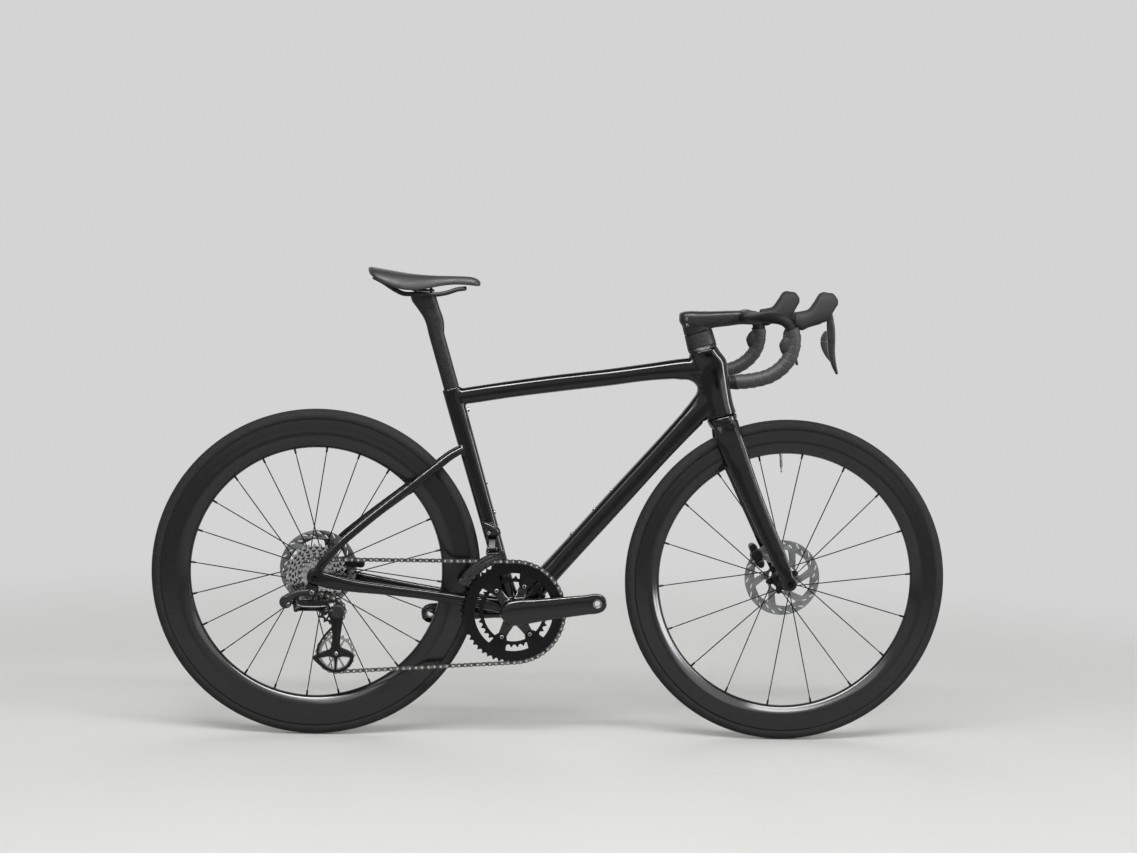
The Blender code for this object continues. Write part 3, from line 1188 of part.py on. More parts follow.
def build_caliper(name, axle, centre, along, outward, low_y, high_y, rotor_y, pad_centre, pad_names):
    """Caliper that straddles the rotor: the rotor's own circle is cut out, and pads sit in it."""
    middle = Vector((centre[0], (low_y + high_y) / 2, centre[1]))
    body = block(name, middle, (CALIPER_LENGTH, high_y - low_y, CALIPER_DEPTH), BLACK_PLASTIC,
                 axes=(along, LEFT, outward), bevel=4.0)
    slot = rod(name + "_slot", axle + LEFT * (rotor_y - 1.7), axle + LEFT * (rotor_y + 1.7), ROTOR_RADIUS + 2.5, sides=36)
    pocket = block(name + "_pocket", Vector((pad_centre[0], rotor_y, pad_centre[1])), (27, 9.4, 19),
                   axes=(along, LEFT, outward))
    cut(body, [slot, pocket])
    for pad_name, side in zip(pad_names, (1, -1)):
        place = Vector((pad_centre[0], rotor_y + side * (ROTOR_THICKNESS / 2 + 0.7 + 1.5), pad_centre[1]))
        block(pad_name, place, (25, 3.0, 17), BRAKE_PAD, axes=(along, LEFT, outward))


def build_brakes():
    """Flat calipers: the front behind the left leg, the rear on the left chainstay."""
    up_leg = Vector((-0.438, 0, 0.899))
    build_caliper("front_caliper", FRONT_AXLE, (433.0, 384.2), up_leg, up_leg.cross(LEFT), 24.5, 49.5, FRONT_ROTOR_Y,
                  (438.0, 375.5), ("front_brake_pad_outer", "front_brake_pad_inner"))
    along_stay = Vector((0.99, 0, -0.139))
    build_caliper("rear_caliper", REAR_AXLE, (-420.0, 352.0), along_stay, along_stay.cross(LEFT), 42.0, 67.0,
                  REAR_ROTOR_Y, (-427.0, 353.5), ("rear_brake_pad_outer", "rear_brake_pad_inner"))


build_frame()
build_hanger()
build_seatpost()
build_saddle()
build_rails()
build_saddle_clamp()
build_seatpost_wedge()
build_headset()
build_stem()
build_handlebar()
build_fork()
for label, side in (("right", -1), ("left", 1)):
    build_tape("bar_tape_" + label, side)
    build_hood("brake_hood_" + label, side)
    build_lever("brake_lever_" + label, side)
    build_buttons(side, label)
    build_crank("crank_" + label, side)
build_tyre("front_tyre", FRONT_AXLE)
build_tyre("rear_tyre", REAR_AXLE)
build_rim("front_rim", FRONT_AXLE, FRONT_RIM_INNER)
build_rim("rear_rim", REAR_AXLE, REAR_RIM_INNER)
build_front_hub()
build_rear_hub()
build_rotor("front_rotor", FRONT_AXLE, FRONT_ROTOR_Y)
build_rotor("rear_rotor", REAR_AXLE, REAR_ROTOR_Y)
build_axle("front_axle", FRONT_AXLE, FRONT_HUB_WIDTH)
build_axle("rear_axle", REAR_AXLE, REAR_HUB_WIDTH)
build_cassette()
build_chain()
build_chainring("chainring_outer", OUTER_TEETH, CHAIN_Y, 84.0)
build_chainring("chainring_inner", INNER_TEETH, INNER_RING_Y, 66.5)
build_bottom_bracket()
build_rear_derailleur()
build_front_derailleur()
build_brakes()
bpy.context.view_layer.update()
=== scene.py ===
"""Looks of the aero road bike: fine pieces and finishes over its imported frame.

Shapes are worked out in millimetres as whole arrays; a piece is put into metres at the end.
+X points forward, +Y to the rider's left and +Z up; the chain is on the -Y side.
"""
from math import acos, atan2, cos, hypot, pi, radians, sin, sqrt, tau

import bmesh
import bpy
import numpy as np
from mathutils import Matrix


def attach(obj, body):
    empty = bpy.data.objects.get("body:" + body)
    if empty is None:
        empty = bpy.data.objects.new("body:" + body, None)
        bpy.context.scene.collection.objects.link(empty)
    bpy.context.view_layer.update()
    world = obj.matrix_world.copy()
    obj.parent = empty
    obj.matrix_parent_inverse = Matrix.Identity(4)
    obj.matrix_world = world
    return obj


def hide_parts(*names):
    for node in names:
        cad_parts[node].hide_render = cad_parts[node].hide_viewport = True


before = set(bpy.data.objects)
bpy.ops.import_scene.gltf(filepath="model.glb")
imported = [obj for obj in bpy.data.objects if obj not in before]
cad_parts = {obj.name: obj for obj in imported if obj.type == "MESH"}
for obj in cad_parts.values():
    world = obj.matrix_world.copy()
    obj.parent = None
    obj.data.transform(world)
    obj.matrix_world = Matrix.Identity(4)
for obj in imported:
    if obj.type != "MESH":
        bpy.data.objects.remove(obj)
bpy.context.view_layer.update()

MM = 0.001
FORWARD, LEFT, UP = np.eye(3)


# Places worked out from the bike's driving sizes
def unit(v):
    """Each vector over its own length."""
    v = np.asarray(v, float)
    return v / np.linalg.norm(v, axis=-1, keepdims=True)


TYRE_RADIUS = 338.0
FRONT_AXLE = np.array((489.0, 0.0, TYRE_RADIUS))
REAR_AXLE = np.array((-489.0, 0.0, TYRE_RADIUS))
BB = np.array((-489.0 + sqrt(413.0 ** 2 - 70.0 ** 2), 0.0, TYRE_RADIUS - 70.0))
HEAD_ANGLE, SEAT_ANGLE = radians(73.3), radians(73.1)
STEER_UP = np.array((-cos(HEAD_ANGLE), 0.0, sin(HEAD_ANGLE)))
STEER_FORWARD = np.array((sin(HEAD_ANGLE), 0.0, cos(HEAD_ANGLE)))
STEER_FOOT = FRONT_AXLE - STEER_FORWARD * 44.0
SEAT_UP = np.array((-cos(SEAT_ANGLE), 0.0, sin(SEAT_ANGLE)))
SEAT_FORWARD = np.array((sin(SEAT_ANGLE), 0.0, cos(SEAT_ANGLE)))
HEAD_LOW, HEAD_TOP = 370.0, 514.0
CHAIN_Y = -46.4
GUIDE_CENTRE = np.array((-455.0, CHAIN_Y, 264.0))
TENSION_CENTRE = np.array((-444.0, CHAIN_Y, 177.0))
CAGE_PIVOT = np.array((-443.0, CHAIN_Y, 266.0))
BAR_RADIUS, HOOD_SPACING = 11.9, 206.0
AXLE_HOLE, STEERER_RADIUS, STEERER_HOLE = 6.4, 14.3, 14.6
FRONT_ROTOR_Y, REAR_ROTOR_Y = 34.5, 55.5
BIG_RING, SMALL_RING, GUIDE_TEETH, TENSION_TEETH = 52, 36, 13, 19
CRANK_LENGTH = 172.5
SIDES = (("right", -1), ("left", 1))


def steer_point(height, forward=0.0):
    """A point by its height along the steering axis and its distance ahead of it."""
    return STEER_FOOT + STEER_UP * height + STEER_FORWARD * forward


def seat_point(height, forward=0.0, side=0.0):
    """A point by its height along the seat tube from the bottom bracket."""
    return BB + SEAT_UP * height + SEAT_FORWARD * forward + LEFT * side


def ways(angle):
    """Unit vectors outwards and onwards at an angle in the bike's own plane."""
    return np.array((cos(angle), 0, sin(angle))), np.array((-sin(angle), 0, cos(angle)))


# Shapes: a shape is an array of points and a list of arrays of faces
def through(stations, count):
    """A smooth curve through rows of numbers, (t³, t², t, 1) Hermite pieces over the chord length
    of the first three columns, with each slope the mean of those on its two sides."""
    rows = np.asarray(stations, float)
    chord = np.r_[0.0, np.cumsum(np.linalg.norm(np.diff(rows[:, :3], axis=0), axis=1))]
    slope = np.gradient(rows, chord, axis=0)
    at = np.linspace(0.0, chord[-1], count)
    i = np.clip(np.searchsorted(chord, at, side="right") - 1, 0, len(chord) - 2)
    step = (chord[i + 1] - chord[i])[:, None]
    t = (at - chord[i])[:, None] / step
    return ((2 * t ** 3 - 3 * t ** 2 + 1) * rows[i] + (t ** 3 - 2 * t ** 2 + t) * step * slope[i]
            + (3 * t ** 2 - 2 * t ** 3) * rows[i + 1] + (t ** 3 - t ** 2) * step * slope[i + 1])


def skin(rows, loop=False):
    """Quads between neighbouring rings of a grid: corners (i, j), (i, j+1), (i+1, j+1), (i+1, j),
    with j round each ring, and i round as well on a loop; open ends get a flat face."""
    number = np.arange(rows.shape[0] * rows.shape[1]).reshape(rows.shape[:2])
    here, ahead = (number, np.roll(number, -1, 0)) if loop else (number[:-1], number[1:])
    faces = [np.stack([here, np.roll(here, -1, 1), np.roll(ahead, -1, 1), ahead], -1).reshape(-1, 4)]
    if not loop:
        faces += [number[:1, ::-1], number[-1:]]
    return rows.reshape(-1, 3), faces


def joined(*shapes):
    """Several shapes as one: points end to end, and each face's corners counted on."""
    points, faces, base = [], [], 0
    for part_points, part_faces in shapes:
        points.append(part_points)
        faces += [group + base for group in part_faces]
        base += len(part_points)
    return np.concatenate(points), faces


def rings(centres, first, second, reach, width, power=2.0, sides=32):
    """Superellipses: centre + first·a·sgn(cos t)|cos t|^(2/p) + second·b·sgn(sin t)|sin t|^(2/p)."""
    centres = np.atleast_2d(centres)
    turn = tau * (np.arange(sides) + 0.5) / sides
    c, s = (np.sign(f) * np.abs(f) ** (2 / power) for f in (np.cos(turn), np.sin(turn)))
    first, second = (np.broadcast_to(v, centres.shape)[:, None, :] for v in (first, second))
    a, b = (np.broadcast_to(r, len(centres))[:, None, None] for r in (reach, width))
    return centres[:, None, :] + first * a * c[None, :, None] + second * b * s[None, :, None]


def frames_along(points, first=None):
    """Two unit vectors across a path: LEFT less its part along the tangent and its cross product
    with the tangent, or a first vector carried along without twist."""
    along = unit(np.gradient(points, axis=0))
    if first is None:
        side = unit(LEFT - along * (along @ LEFT)[:, None])
        return np.cross(side, along), side
    carried = []
    for tangent in along:
        first = unit(first - tangent * (first @ tangent))
        carried.append(first)
    return np.array(carried), np.cross(along, carried)


def tube(stations, power=2.5, sides=32, count=60, first=None):
    """Superellipse rings square to a smooth path of (x, y, z, half depth, half width)."""
    path = through(stations, count)
    depth, side = frames_along(path[:, :3], first)
    return rings(path[:, :3], depth, side, path[:, 3], path[:, 4], power, sides)


def stack(stations, first, second, power=2.3, sides=32, count=24):
    """Superellipse rings in planes of two fixed vectors, through (x, y, z, half depth, half width)."""
    path = through(stations, count)
    return rings(path[:, :3], first, second, path[:, 3], path[:, 4], power, sides)


def blunt(rows, first=0.0, last=0.0, steps=4):
    """Rounds a grid's ends: past each end the ring shrinks by cos a about its middle and moves on
    by reach·sin a, for a up to 80 degrees."""
    turn = np.linspace(0, radians(80), steps + 1)[1:, None, None]
    for end, reach, beside in ((0, first, 1), (-1, last, -2)):
        if reach:
            middle = rows[end].mean(0)
            away = unit(middle - rows[beside].mean(0))
            extra = middle + (rows[end] - middle) * np.cos(turn) + away * reach * np.sin(turn)
            rows = np.concatenate([extra[::-1], rows]) if end == 0 else np.concatenate([rows, extra])
    return rows


def square_to(axis, turn):
    """Unit vectors square to an axis at each angle t, a·cos t + b·sin t."""
    guide = FORWARD if abs(axis @ FORWARD) < 0.9 else UP
    a = unit(guide - axis * (guide @ axis))
    return np.cos(turn)[:, None] * a + np.sin(turn)[:, None] * np.cross(axis, a)


def spin(profile, foot, axis=LEFT, steps=48, closed=True):
    """A profile of (radius, height) turned about an axis: foot + axis·h + (a·cos t + b·sin t)·r."""
    profile, axis = np.asarray(profile, float), unit(axis)
    radial = square_to(axis, tau * np.arange(steps) / steps)
    rows = foot + axis * profile[:, 1, None, None] + radial[None] * profile[:, 0, None, None]
    return skin(rows, loop=closed)


def soften(outline, reach, steps=3, closed=True):
    """Rounds an outline's corners: (1-t)²·start + 2t(1-t)·corner + t²·end, with start and end a
    reach away on the two sides, or under half of a side."""
    p = np.asarray(outline, float)
    back, ahead = np.roll(p, 1, 0) - p, np.roll(p, -1, 0) - p
    lengths = [np.linalg.norm(side, axis=1, keepdims=True) for side in (back, ahead)]
    r = np.minimum(np.broadcast_to(reach, len(p))[:, None], 0.45 * np.minimum(*lengths))
    start, end = p + back / lengths[0] * r, p + ahead / lengths[1] * r
    t = np.linspace(0, 1, steps + 1)[None, :, None]
    curve = (1 - t) ** 2 * start[:, None] + 2 * t * (1 - t) * p[:, None] + t ** 2 * end[:, None]
    if closed:
        return curve.reshape(-1, 2)
    return np.concatenate([p[:1], curve[1:-1].reshape(-1, 2), p[-1:]])


def rod(start, end, radius, end_radius=None, sides=24, edge=0.5):
    """A round bar or cone between two points, its rims rounded: a profile turned on its axis."""
    start, end = np.asarray(start, float), np.asarray(end, float)
    length = np.linalg.norm(end - start)
    last = radius if end_radius is None else end_radius
    profile = soften([(radius * 0.3, 0), (radius, 0), (last, length), (last * 0.3, length)], edge, 2, False)
    return spin(profile, start, end - start, sides, closed=False)


def loose(shape):
    """A mesh object made of a shape for a modifier to work on."""
    mesh = bpy.data.meshes.new("loose")
    mesh.from_pydata(shape[0].tolist(), [], [face for group in shape[1] for face in group.tolist()])
    item = bpy.data.objects.new("loose", mesh)
    bpy.context.scene.collection.objects.link(item)
    return item


def taken(item):
    """The points and faces of an object as its modifiers leave it; the object is removed."""
    bpy.context.view_layer.update()
    mesh = bpy.data.meshes.new_from_object(item.evaluated_get(bpy.context.evaluated_depsgraph_get()))
    points = np.empty(len(mesh.vertices) * 3)
    mesh.vertices.foreach_get("co", points)
    corners, starts, sizes = (np.empty(n, int) for n in (len(mesh.loops), len(mesh.polygons),
                                                         len(mesh.polygons)))
    mesh.loops.foreach_get("vertex_index", corners)
    mesh.polygons.foreach_get("loop_start", starts)
    mesh.polygons.foreach_get("loop_total", sizes)
    faces = [corners[starts[sizes == n][:, None] + np.arange(n)] for n in np.unique(sizes)]
    bpy.data.objects.remove(item)
    bpy.data.meshes.remove(mesh)
    return points.reshape(-1, 3), faces


def carve(shape, *cutters):
    """A shape less each cutter in turn."""
    item, tools = loose(shape), [loose(cutter) for cutter in cutters]
    for tool in tools:
        cut = item.modifiers.new("cut", "BOOLEAN")
        cut.operation, cut.solver, cut.object = "DIFFERENCE", "EXACT", tool
    shape = taken(item)
    for tool in tools:
        bpy.data.objects.remove(tool)
    return shape


def fused(shape, voxel, passes=12):
    """One skin round overlapping shapes: voxels, then p + 0.6·d and p - 0.62·d in turn, where d is
    the way to the mean of a point's neighbours, which evens the skin and keeps its volume."""
    item = loose(shape)
    remesh = item.modifiers.new("skin", "REMESH")
    remesh.mode, remesh.voxel_size = "VOXEL", voxel
    points, faces = taken(item)
    edges = np.concatenate([np.stack([g, np.roll(g, -1, 1)], -1).reshape(-1, 2) for g in faces])
    count = np.bincount(edges.ravel(), minlength=len(points))[:, None]
    for share in [0.6, -0.62] * passes:
        mean = np.stack([np.bincount(edges[:, 0], points[edges[:, 1], k], len(points))
                         + np.bincount(edges[:, 1], points[edges[:, 0], k], len(points)) for k in range(3)],
                        1)
        points = points + share * (mean / count - points)
    return points, faces


def plate(outlines, thickness, foot=(0, 0, 0), across=FORWARD, up=UP, edge=0.25):
    """A flat piece with holes and rounded edges: foot + across·u + up·v over the outlines of (u, v)."""
    curve = bpy.data.curves.new("outline", "CURVE")
    curve.dimensions, curve.fill_mode = "2D", "BOTH"
    curve.extrude, curve.bevel_depth, curve.offset = thickness / 2 - edge, edge, -edge
    curve.bevel_resolution = 1
    for outline in outlines:
        outline = np.asarray(outline, float)
        spline = curve.splines.new("POLY")
        spline.points.add(len(outline) - 1)
        spline.points.foreach_set("co", np.c_[outline, np.zeros(len(outline)), np.ones(len(outline))].ravel())
        spline.use_cyclic_u = True
    item = bpy.data.objects.new("outline", curve)
    bpy.context.scene.collection.objects.link(item)
    points, faces = taken(item)
    turn = np.stack([across, up, np.cross(across, up)])
    return np.asarray(foot, float) + points @ turn, faces


def side_plate(outlines, y, thickness, edge=0.25):
    """A plate in the bike's own plane, from outlines of (x, z)."""
    return plate(outlines, thickness, (0.0, y, 0.0), edge=edge)


def turned_copies(shape, centre, angles):
    """Copies of a shape turned about a line across the bike, whose direction is n: centre + r·cos t
    + (n × r)·sin t + n·(n·r)(1 - cos t)."""
    r = shape[0] - centre
    c, s = (f(np.asarray(angles, float))[:, None, None] for f in (np.cos, np.sin))
    points = centre + r * c + np.cross(LEFT, r) * s + LEFT * (r @ LEFT)[:, None] * (1 - c)
    return joined(*[(copy, shape[1]) for copy in points])


def mirrored(shape, side):
    """The right side's shape for side -1, and its mirror image across the bike's plane for 1."""
    return (shape[0] * (1.0, -side, 1.0), shape[1])


def circle(centre, radius, sides):
    """Points of (u, v) at equal angles round a centre, at one radius or at each its own."""
    turn = tau * np.arange(sides) / sides
    return np.c_[centre[0] + radius * np.cos(turn), centre[1] + radius * np.sin(turn)]


def polar(centre, corners, turn):
    """Points of (u, v) for corners of (angle, radius), turned about a centre."""
    angle, radius = np.array(corners, float).T
    return np.c_[centre[0] + radius * np.cos(turn + angle), centre[1] + radius * np.sin(turn + angle)]


def flat(point):
    """A point's x and z."""
    return point[[0, 2]]


def slab(centre, size, axes=(FORWARD, LEFT, UP), edge=2.0, sides=7):
    """A rounded block: rings of a softened rectangle in the first two axes, stacked along the third,
    where the end rings draw in by 1 - cos a as they rise by sin a."""
    half = np.asarray(size, float) / 2
    corners = np.array([(1, 1), (-1, 1), (-1, -1), (1, -1)]) * (half[:2] - edge)
    turn = np.linspace(0, pi / 2, sides)
    quarter = np.stack([np.cos(turn), np.sin(turn)], 1)
    arcs = [quarter, quarter[::-1] * (-1, 1), quarter * (-1, -1), quarter[::-1] * (1, -1)]
    rise = np.linspace(0, pi / 2, 4)
    grid = []
    for end, angles in ((-1, rise[::-1]), (1, rise)):
        for a in angles:
            ring = np.concatenate([corner + arc * edge * cos(a) for corner, arc in zip(corners, arcs)])
            level = end * (half[2] - edge * (1 - sin(a)))
            grid.append(np.c_[ring, np.full(len(ring), level)] @ np.asarray(axes, float))
    return skin(np.asarray(centre, float) + np.stack(grid))


def bolt(face, axis, radius, height=2.0, socket=0.5, sink=1.0):
    """A socket screw's head: a rounded drum with a hexagonal hollow, whose radius at each angle is
    apothem / cos of the angle from the nearest flat."""
    axis, turn = unit(axis), tau * np.arange(24) / 24
    radial = square_to(axis, turn)
    hexagon = radius * socket * cos(pi / 6) / np.cos((turn + pi / 6) % (pi / 3) - pi / 6)
    drum_wall = np.full(24, radius)
    levels = [(drum_wall, -sink), (drum_wall, height - 0.3 * radius),
              (drum_wall * 0.93, height - 0.1 * radius), (drum_wall * 0.8, height), (hexagon * 1.08, height),
              (hexagon, height - 0.12 * radius), (hexagon, max(height - 0.8 * radius, 0.3 - sink))]
    return skin(np.stack([np.asarray(face, float) + axis * z + radial * r[:, None] for r, z in levels]))


def piece(name, shape, material, body, *nodes, slot=None, crease=32):
    """Puts a shape into metres as a finished object: merged, faces out, riding on its body and
    standing for its nodes; its slot, its own or else its finish's, is looked up but not kept."""
    mesh = bpy.data.meshes.new(name)
    mesh.from_pydata((shape[0] * MM).tolist(), [], [face for group in shape[1] for face in group.tolist()])
    bm = bmesh.new()
    bm.from_mesh(mesh)
    bmesh.ops.remove_doubles(bm, verts=bm.verts, dist=0.000001)
    bmesh.ops.recalc_face_normals(bm, faces=bm.faces)
    bm.to_mesh(mesh)
    bm.free()
    mesh.materials.append(material)
    mesh.shade_smooth()
    mesh.set_sharp_from_angle(angle=radians(crease))
    item = bpy.data.objects.new(name, mesh)
    bpy.context.scene.collection.objects.link(item)
    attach(item, body)
    slot or SLOTS[material.name]
    if nodes:
        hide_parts(*nodes)
    return item


# Finishes: a pattern is a function of a material's nodes and its place in object coordinates
SLOTS = {}


def colour(code):
    """sRGB hex to linear: c / 12.92 up to 0.04045, and ((c + 0.055) / 1.055) ** 2.4 above."""
    channels = [int(code[k:k + 2], 16) / 255 for k in (0, 2, 4)]
    return (*[c / 12.92 if c <= 0.04045 else ((c + 0.055) / 1.055) ** 2.4 for c in channels], 1.0)


def add(tree, kind, inputs=None, **settings):
    """Adds a node: settings are its own, inputs are values for its sockets or outputs to link."""
    node = tree.nodes.new(kind)
    for key, value in settings.items():
        setattr(node, key, value)
    for key, value in (inputs or {}).items():
        if isinstance(value, bpy.types.NodeSocket):
            tree.links.new(value, node.inputs[key])
        else:
            node.inputs[key].default_value = value
    return node


def calc(tree, operation, *values):
    """The outcome of one operation on up to three numbers."""
    return add(tree, "ShaderNodeMath", dict(enumerate(values)), operation=operation).outputs[0]


def spread(tree, value, low, high):
    """The pattern's middle, 0.3 to 0.7, stretched over two values."""
    return add(tree, "ShaderNodeMapRange", {"Value": value, "From Min": 0.3, "From Max": 0.7, "To Min": low,
                                            "To Max": high}).outputs[0]


def noise(tree, place, size, detail=2.0, rough=0.5):
    """Cloudy pattern whose blots are about a size in millimetres."""
    return add(tree, "ShaderNodeTexNoise", {"Vector": place, "Scale": 1000.0 / size, "Detail": detail,
                                            "Roughness": rough}).outputs[0]


def off_axle(tree, place, axle):
    """The place from an axle with its sideways part left out, and its distance from the axle."""
    from_axle = add(tree, "ShaderNodeMapping", {"Vector": place, "Location": tuple(-axle * MM),
                                                "Scale": (1, 0, 1)}).outputs[0]
    distance = add(tree, "ShaderNodeVectorMath", {0: from_axle}, operation="LENGTH").outputs["Value"]
    return from_axle, distance


def clouds(size, detail=2.0, rough=0.5):
    """Plain clouds of a size in millimetres."""
    return lambda tree, place: noise(tree, place, size, detail, rough)


def cells(size, randomness=1.0):
    """Raised cells a size apart in millimetres, in rows or scattered by their randomness."""
    return lambda tree, place: add(tree, "ShaderNodeTexVoronoi", {
        "Vector": place, "Scale": 1000 / size, "Randomness": randomness}).outputs[0]


def tows(tree, place):
    """Clouds of 2 mm drawn out along the bike, like tows laid one way."""
    laid = add(tree, "ShaderNodeMapping", {"Vector": place, "Scale": (0.14, 1.0, 0.5)}).outputs[0]
    return noise(tree, laid, 2.2, 3.0)


def outward_tows(axle):
    """Clouds over (angle · 0.3 m, radius · 0.2), so that they run outwards from an axle; 0.3 m is
    the radius at which an angle becomes a length along the rim."""
    def pattern(tree, place):
        from_axle, distance = off_axle(tree, place, axle)
        parts = add(tree, "ShaderNodeSeparateXYZ", {0: from_axle})
        angle = calc(tree, "ARCTAN2", parts.outputs[2], parts.outputs[0])
        along, out = calc(tree, "MULTIPLY", angle, 0.3), calc(tree, "MULTIPLY", distance, 0.2)
        return noise(tree, add(tree, "ShaderNodeCombineXYZ", {0: along, 1: out, 2: 0.0}).outputs[0], 3.0, 3.0)
    return pattern


def moulding_lines(axle):
    """A sine of the distance from the axle, every 1.2 mm, over a grain of 0.8 mm."""
    def pattern(tree, place):
        lines = calc(tree, "MULTIPLY", off_axle(tree, place, axle)[1], 1000 * tau / 1.2)
        return calc(tree, "MULTIPLY_ADD", calc(tree, "SINE", lines), 0.3, noise(tree, place, 0.8, 3.0))
    return pattern


def turned_marks(axle, mark):
    """Clouds along the distance from the axle alone: fine rings, a mark's width apart."""
    def pattern(tree, place):
        distance = off_axle(tree, place, axle)[1]
        line = add(tree, "ShaderNodeCombineXYZ", {0: distance, 1: 0.0, 2: 0.0}).outputs[0]
        return noise(tree, line, mark, 3.0)
    return pattern


def finish(name, slot, base, roughness, metallic=0.0, tint=None, gloss=None, relief=None, also=(), **more):
    """A finish with its plain values on the shader's own sockets. A pattern mixes two colours (tint)
    or two roughnesses (gloss), or raises the skin by a depth in millimetres (relief)."""
    material = bpy.data.materials.new(name)
    material.use_nodes = True
    tree = material.node_tree
    shader = tree.nodes["Principled BSDF"]
    values = {"Base Color": colour(base), "Roughness": roughness, "Metallic": metallic}
    values.update({key.replace("_", " "): value for key, value in more.items()})
    for socket, value in values.items():
        shader.inputs[socket].default_value = value
    place = add(tree, "ShaderNodeTexCoord").outputs["Object"]
    if tint:
        pattern, first, second = tint
        share = spread(tree, pattern(tree, place), 0.0, 1.0)
        mix = add(tree, "ShaderNodeMix", {0: share, 6: colour(first), 7: colour(second)}, data_type="RGBA")
        tree.links.new(mix.outputs[2], shader.inputs["Base Color"])
    if gloss:
        pattern, low, high = gloss
        tree.links.new(spread(tree, pattern(tree, place), low, high), shader.inputs["Roughness"])
    if relief:
        pattern, depth, strength = relief
        bump = add(tree, "ShaderNodeBump", {"Height": pattern(tree, place), "Distance": depth * MM,
                                            "Strength": strength})
        for socket in ("Normal", *also):
            tree.links.new(bump.outputs[0], shader.inputs[socket])
    SLOTS[material.name] = slot
    return material


def rim_carbon(name, axle):
    """Rim fibre in short tows that run outwards, under a half-gloss lacquer."""
    return finish(name, "gloss_carbon", "131315", 0.32, Coat_Weight=0.8, Coat_Roughness=0.14,
                  Specular_IOR_Level=0.1, tint=(outward_tows(axle), "0a0a0c", "131316"),
                  relief=(clouds(1.5), 0.02, 0.3))


def tyre_rubber(name, axle):
    """Moulded tyre rubber: matt and grey-black, with fine moulding lines round it."""
    return finish(name, "tyre_rubber", "171717", 0.82, Specular_IOR_Level=0.3,
                  tint=(clouds(9.0, 4.0), "101010", "1a1a19"), relief=(moulding_lines(axle), 0.05, 0.6))


def moulded_plastic(name, base, rough):
    """Injection-moulded nylon: dark, with a spark-eroded grain of 0.6 mm."""
    return finish(name, "black_plastic", base, rough, Specular_IOR_Level=0.4,
                  tint=(clouds(8.0), base, "1a1a1d"), relief=(clouds(0.6), 0.03, 0.5))


def turned_metal(name, axle, base, second, rough, mark=0.6, slot="bright_steel"):
    """Metal turned or ground on its axle, with fine rings round it."""
    marks = turned_marks(axle, mark)
    return finish(name, slot, base, rough, 1.0, tint=(marks, base, second),
                  gloss=(marks, rough - 0.05, rough + 0.08), relief=(marks, 0.03, 0.4))


def worn_steel(name, base, second, rough, slot="bright_steel"):
    """Stamped and plated steel: bright, with a darker film of oil and dust in blots of 4 mm."""
    film = clouds(4.0, 4.0, 0.6)
    return finish(name, slot, base, rough, 1.0, tint=(film, base, second), gloss=(film, rough, rough + 0.12),
                  relief=(clouds(0.7), 0.02, 0.3))


# black lacquer over fibre: a mirror-smooth clear coat with a faint orange peel of 3 mm
LACQUER = finish("lacquered_carbon", "gloss_carbon", "0c0c0d", 0.3, Coat_Weight=1.0, Coat_Roughness=0.06,
                 Coat_IOR=1.4, Specular_IOR_Level=0.05, tint=(clouds(26.0, 3.0), "060608", "0d0d10"),
                 relief=(clouds(3.2), 0.01, 0.06), also=("Coat Normal",))
# satin-lacquered fibre laid one way: soft sheen, broken by tows that catch light unevenly
SATIN = finish("satin_carbon", "satin_carbon", "171719", 0.4, Specular_IOR_Level=0.32,
               tint=(tows, "0e0e10", "1a1a1d"), gloss=(tows, 0.34, 0.48), relief=(clouds(0.9), 0.02, 0.4))
# matt-lacquered fibre of the bar's tops: dull, with a fine even grain
BAR_CARBON = finish("bar_carbon", "satin_carbon", "141416", 0.62, Specular_IOR_Level=0.15,
                    tint=(clouds(5.0, 3.0), "0f0f11", "19191b"), relief=(clouds(1.2), 0.03, 0.5))
FRONT_RIM_CARBON = rim_carbon("front_rim_carbon", FRONT_AXLE)
REAR_RIM_CARBON = rim_carbon("rear_rim_carbon", REAR_AXLE)
FRONT_TYRE_RUBBER = tyre_rubber("front_tyre_rubber", FRONT_AXLE)
REAR_TYRE_RUBBER = tyre_rubber("rear_tyre_rubber", REAR_AXLE)
# soft moulded grip rubber: dull, with a net of raised cells
HOOD_RUBBER = finish("hood_rubber", "rubber", "161617", 0.7, Specular_IOR_Level=0.35,
                     tint=(clouds(12.0), "131314", "1b1b1c"), relief=(cells(1.6, 0.35), 0.12, 0.6))
# foamed bar tape with a leather-like skin: soft sheen and pebbles
TAPE = finish("wound_tape", "bar_tape", "18181a", 0.6, Sheen_Weight=0.15, Sheen_Roughness=0.5,
              tint=(clouds(6.0, 3.0), "141416", "1f1f21"), relief=(cells(1.1), 0.09, 0.5))
# microfibre cover: nearly matt, with a fine nap and slightly polished places
SADDLE_SKIN = finish("saddle_skin", "saddle_cover", "161618", 0.55, Sheen_Weight=0.25, Sheen_Roughness=0.4,
                     tint=(clouds(2.0, 4.0), "131315", "1b1b1e"), gloss=(clouds(18.0, 3.0), 0.46, 0.6),
                     relief=(clouds(0.7), 0.05, 0.5))
PLASTIC = moulded_plastic("moulded_plastic", "101012", 0.42)
GLOSS_PLASTIC = moulded_plastic("polished_plastic", "0e0e10", 0.18)
# blasted and black anodised aluminium: an even dark metal with a fine blasted grain
ANODISED = finish("black_anodised", "dark_alloy", "232324", 0.34, 0.85, gloss=(clouds(14.0), 0.3, 0.42),
                  relief=(clouds(0.5), 0.02, 0.4))
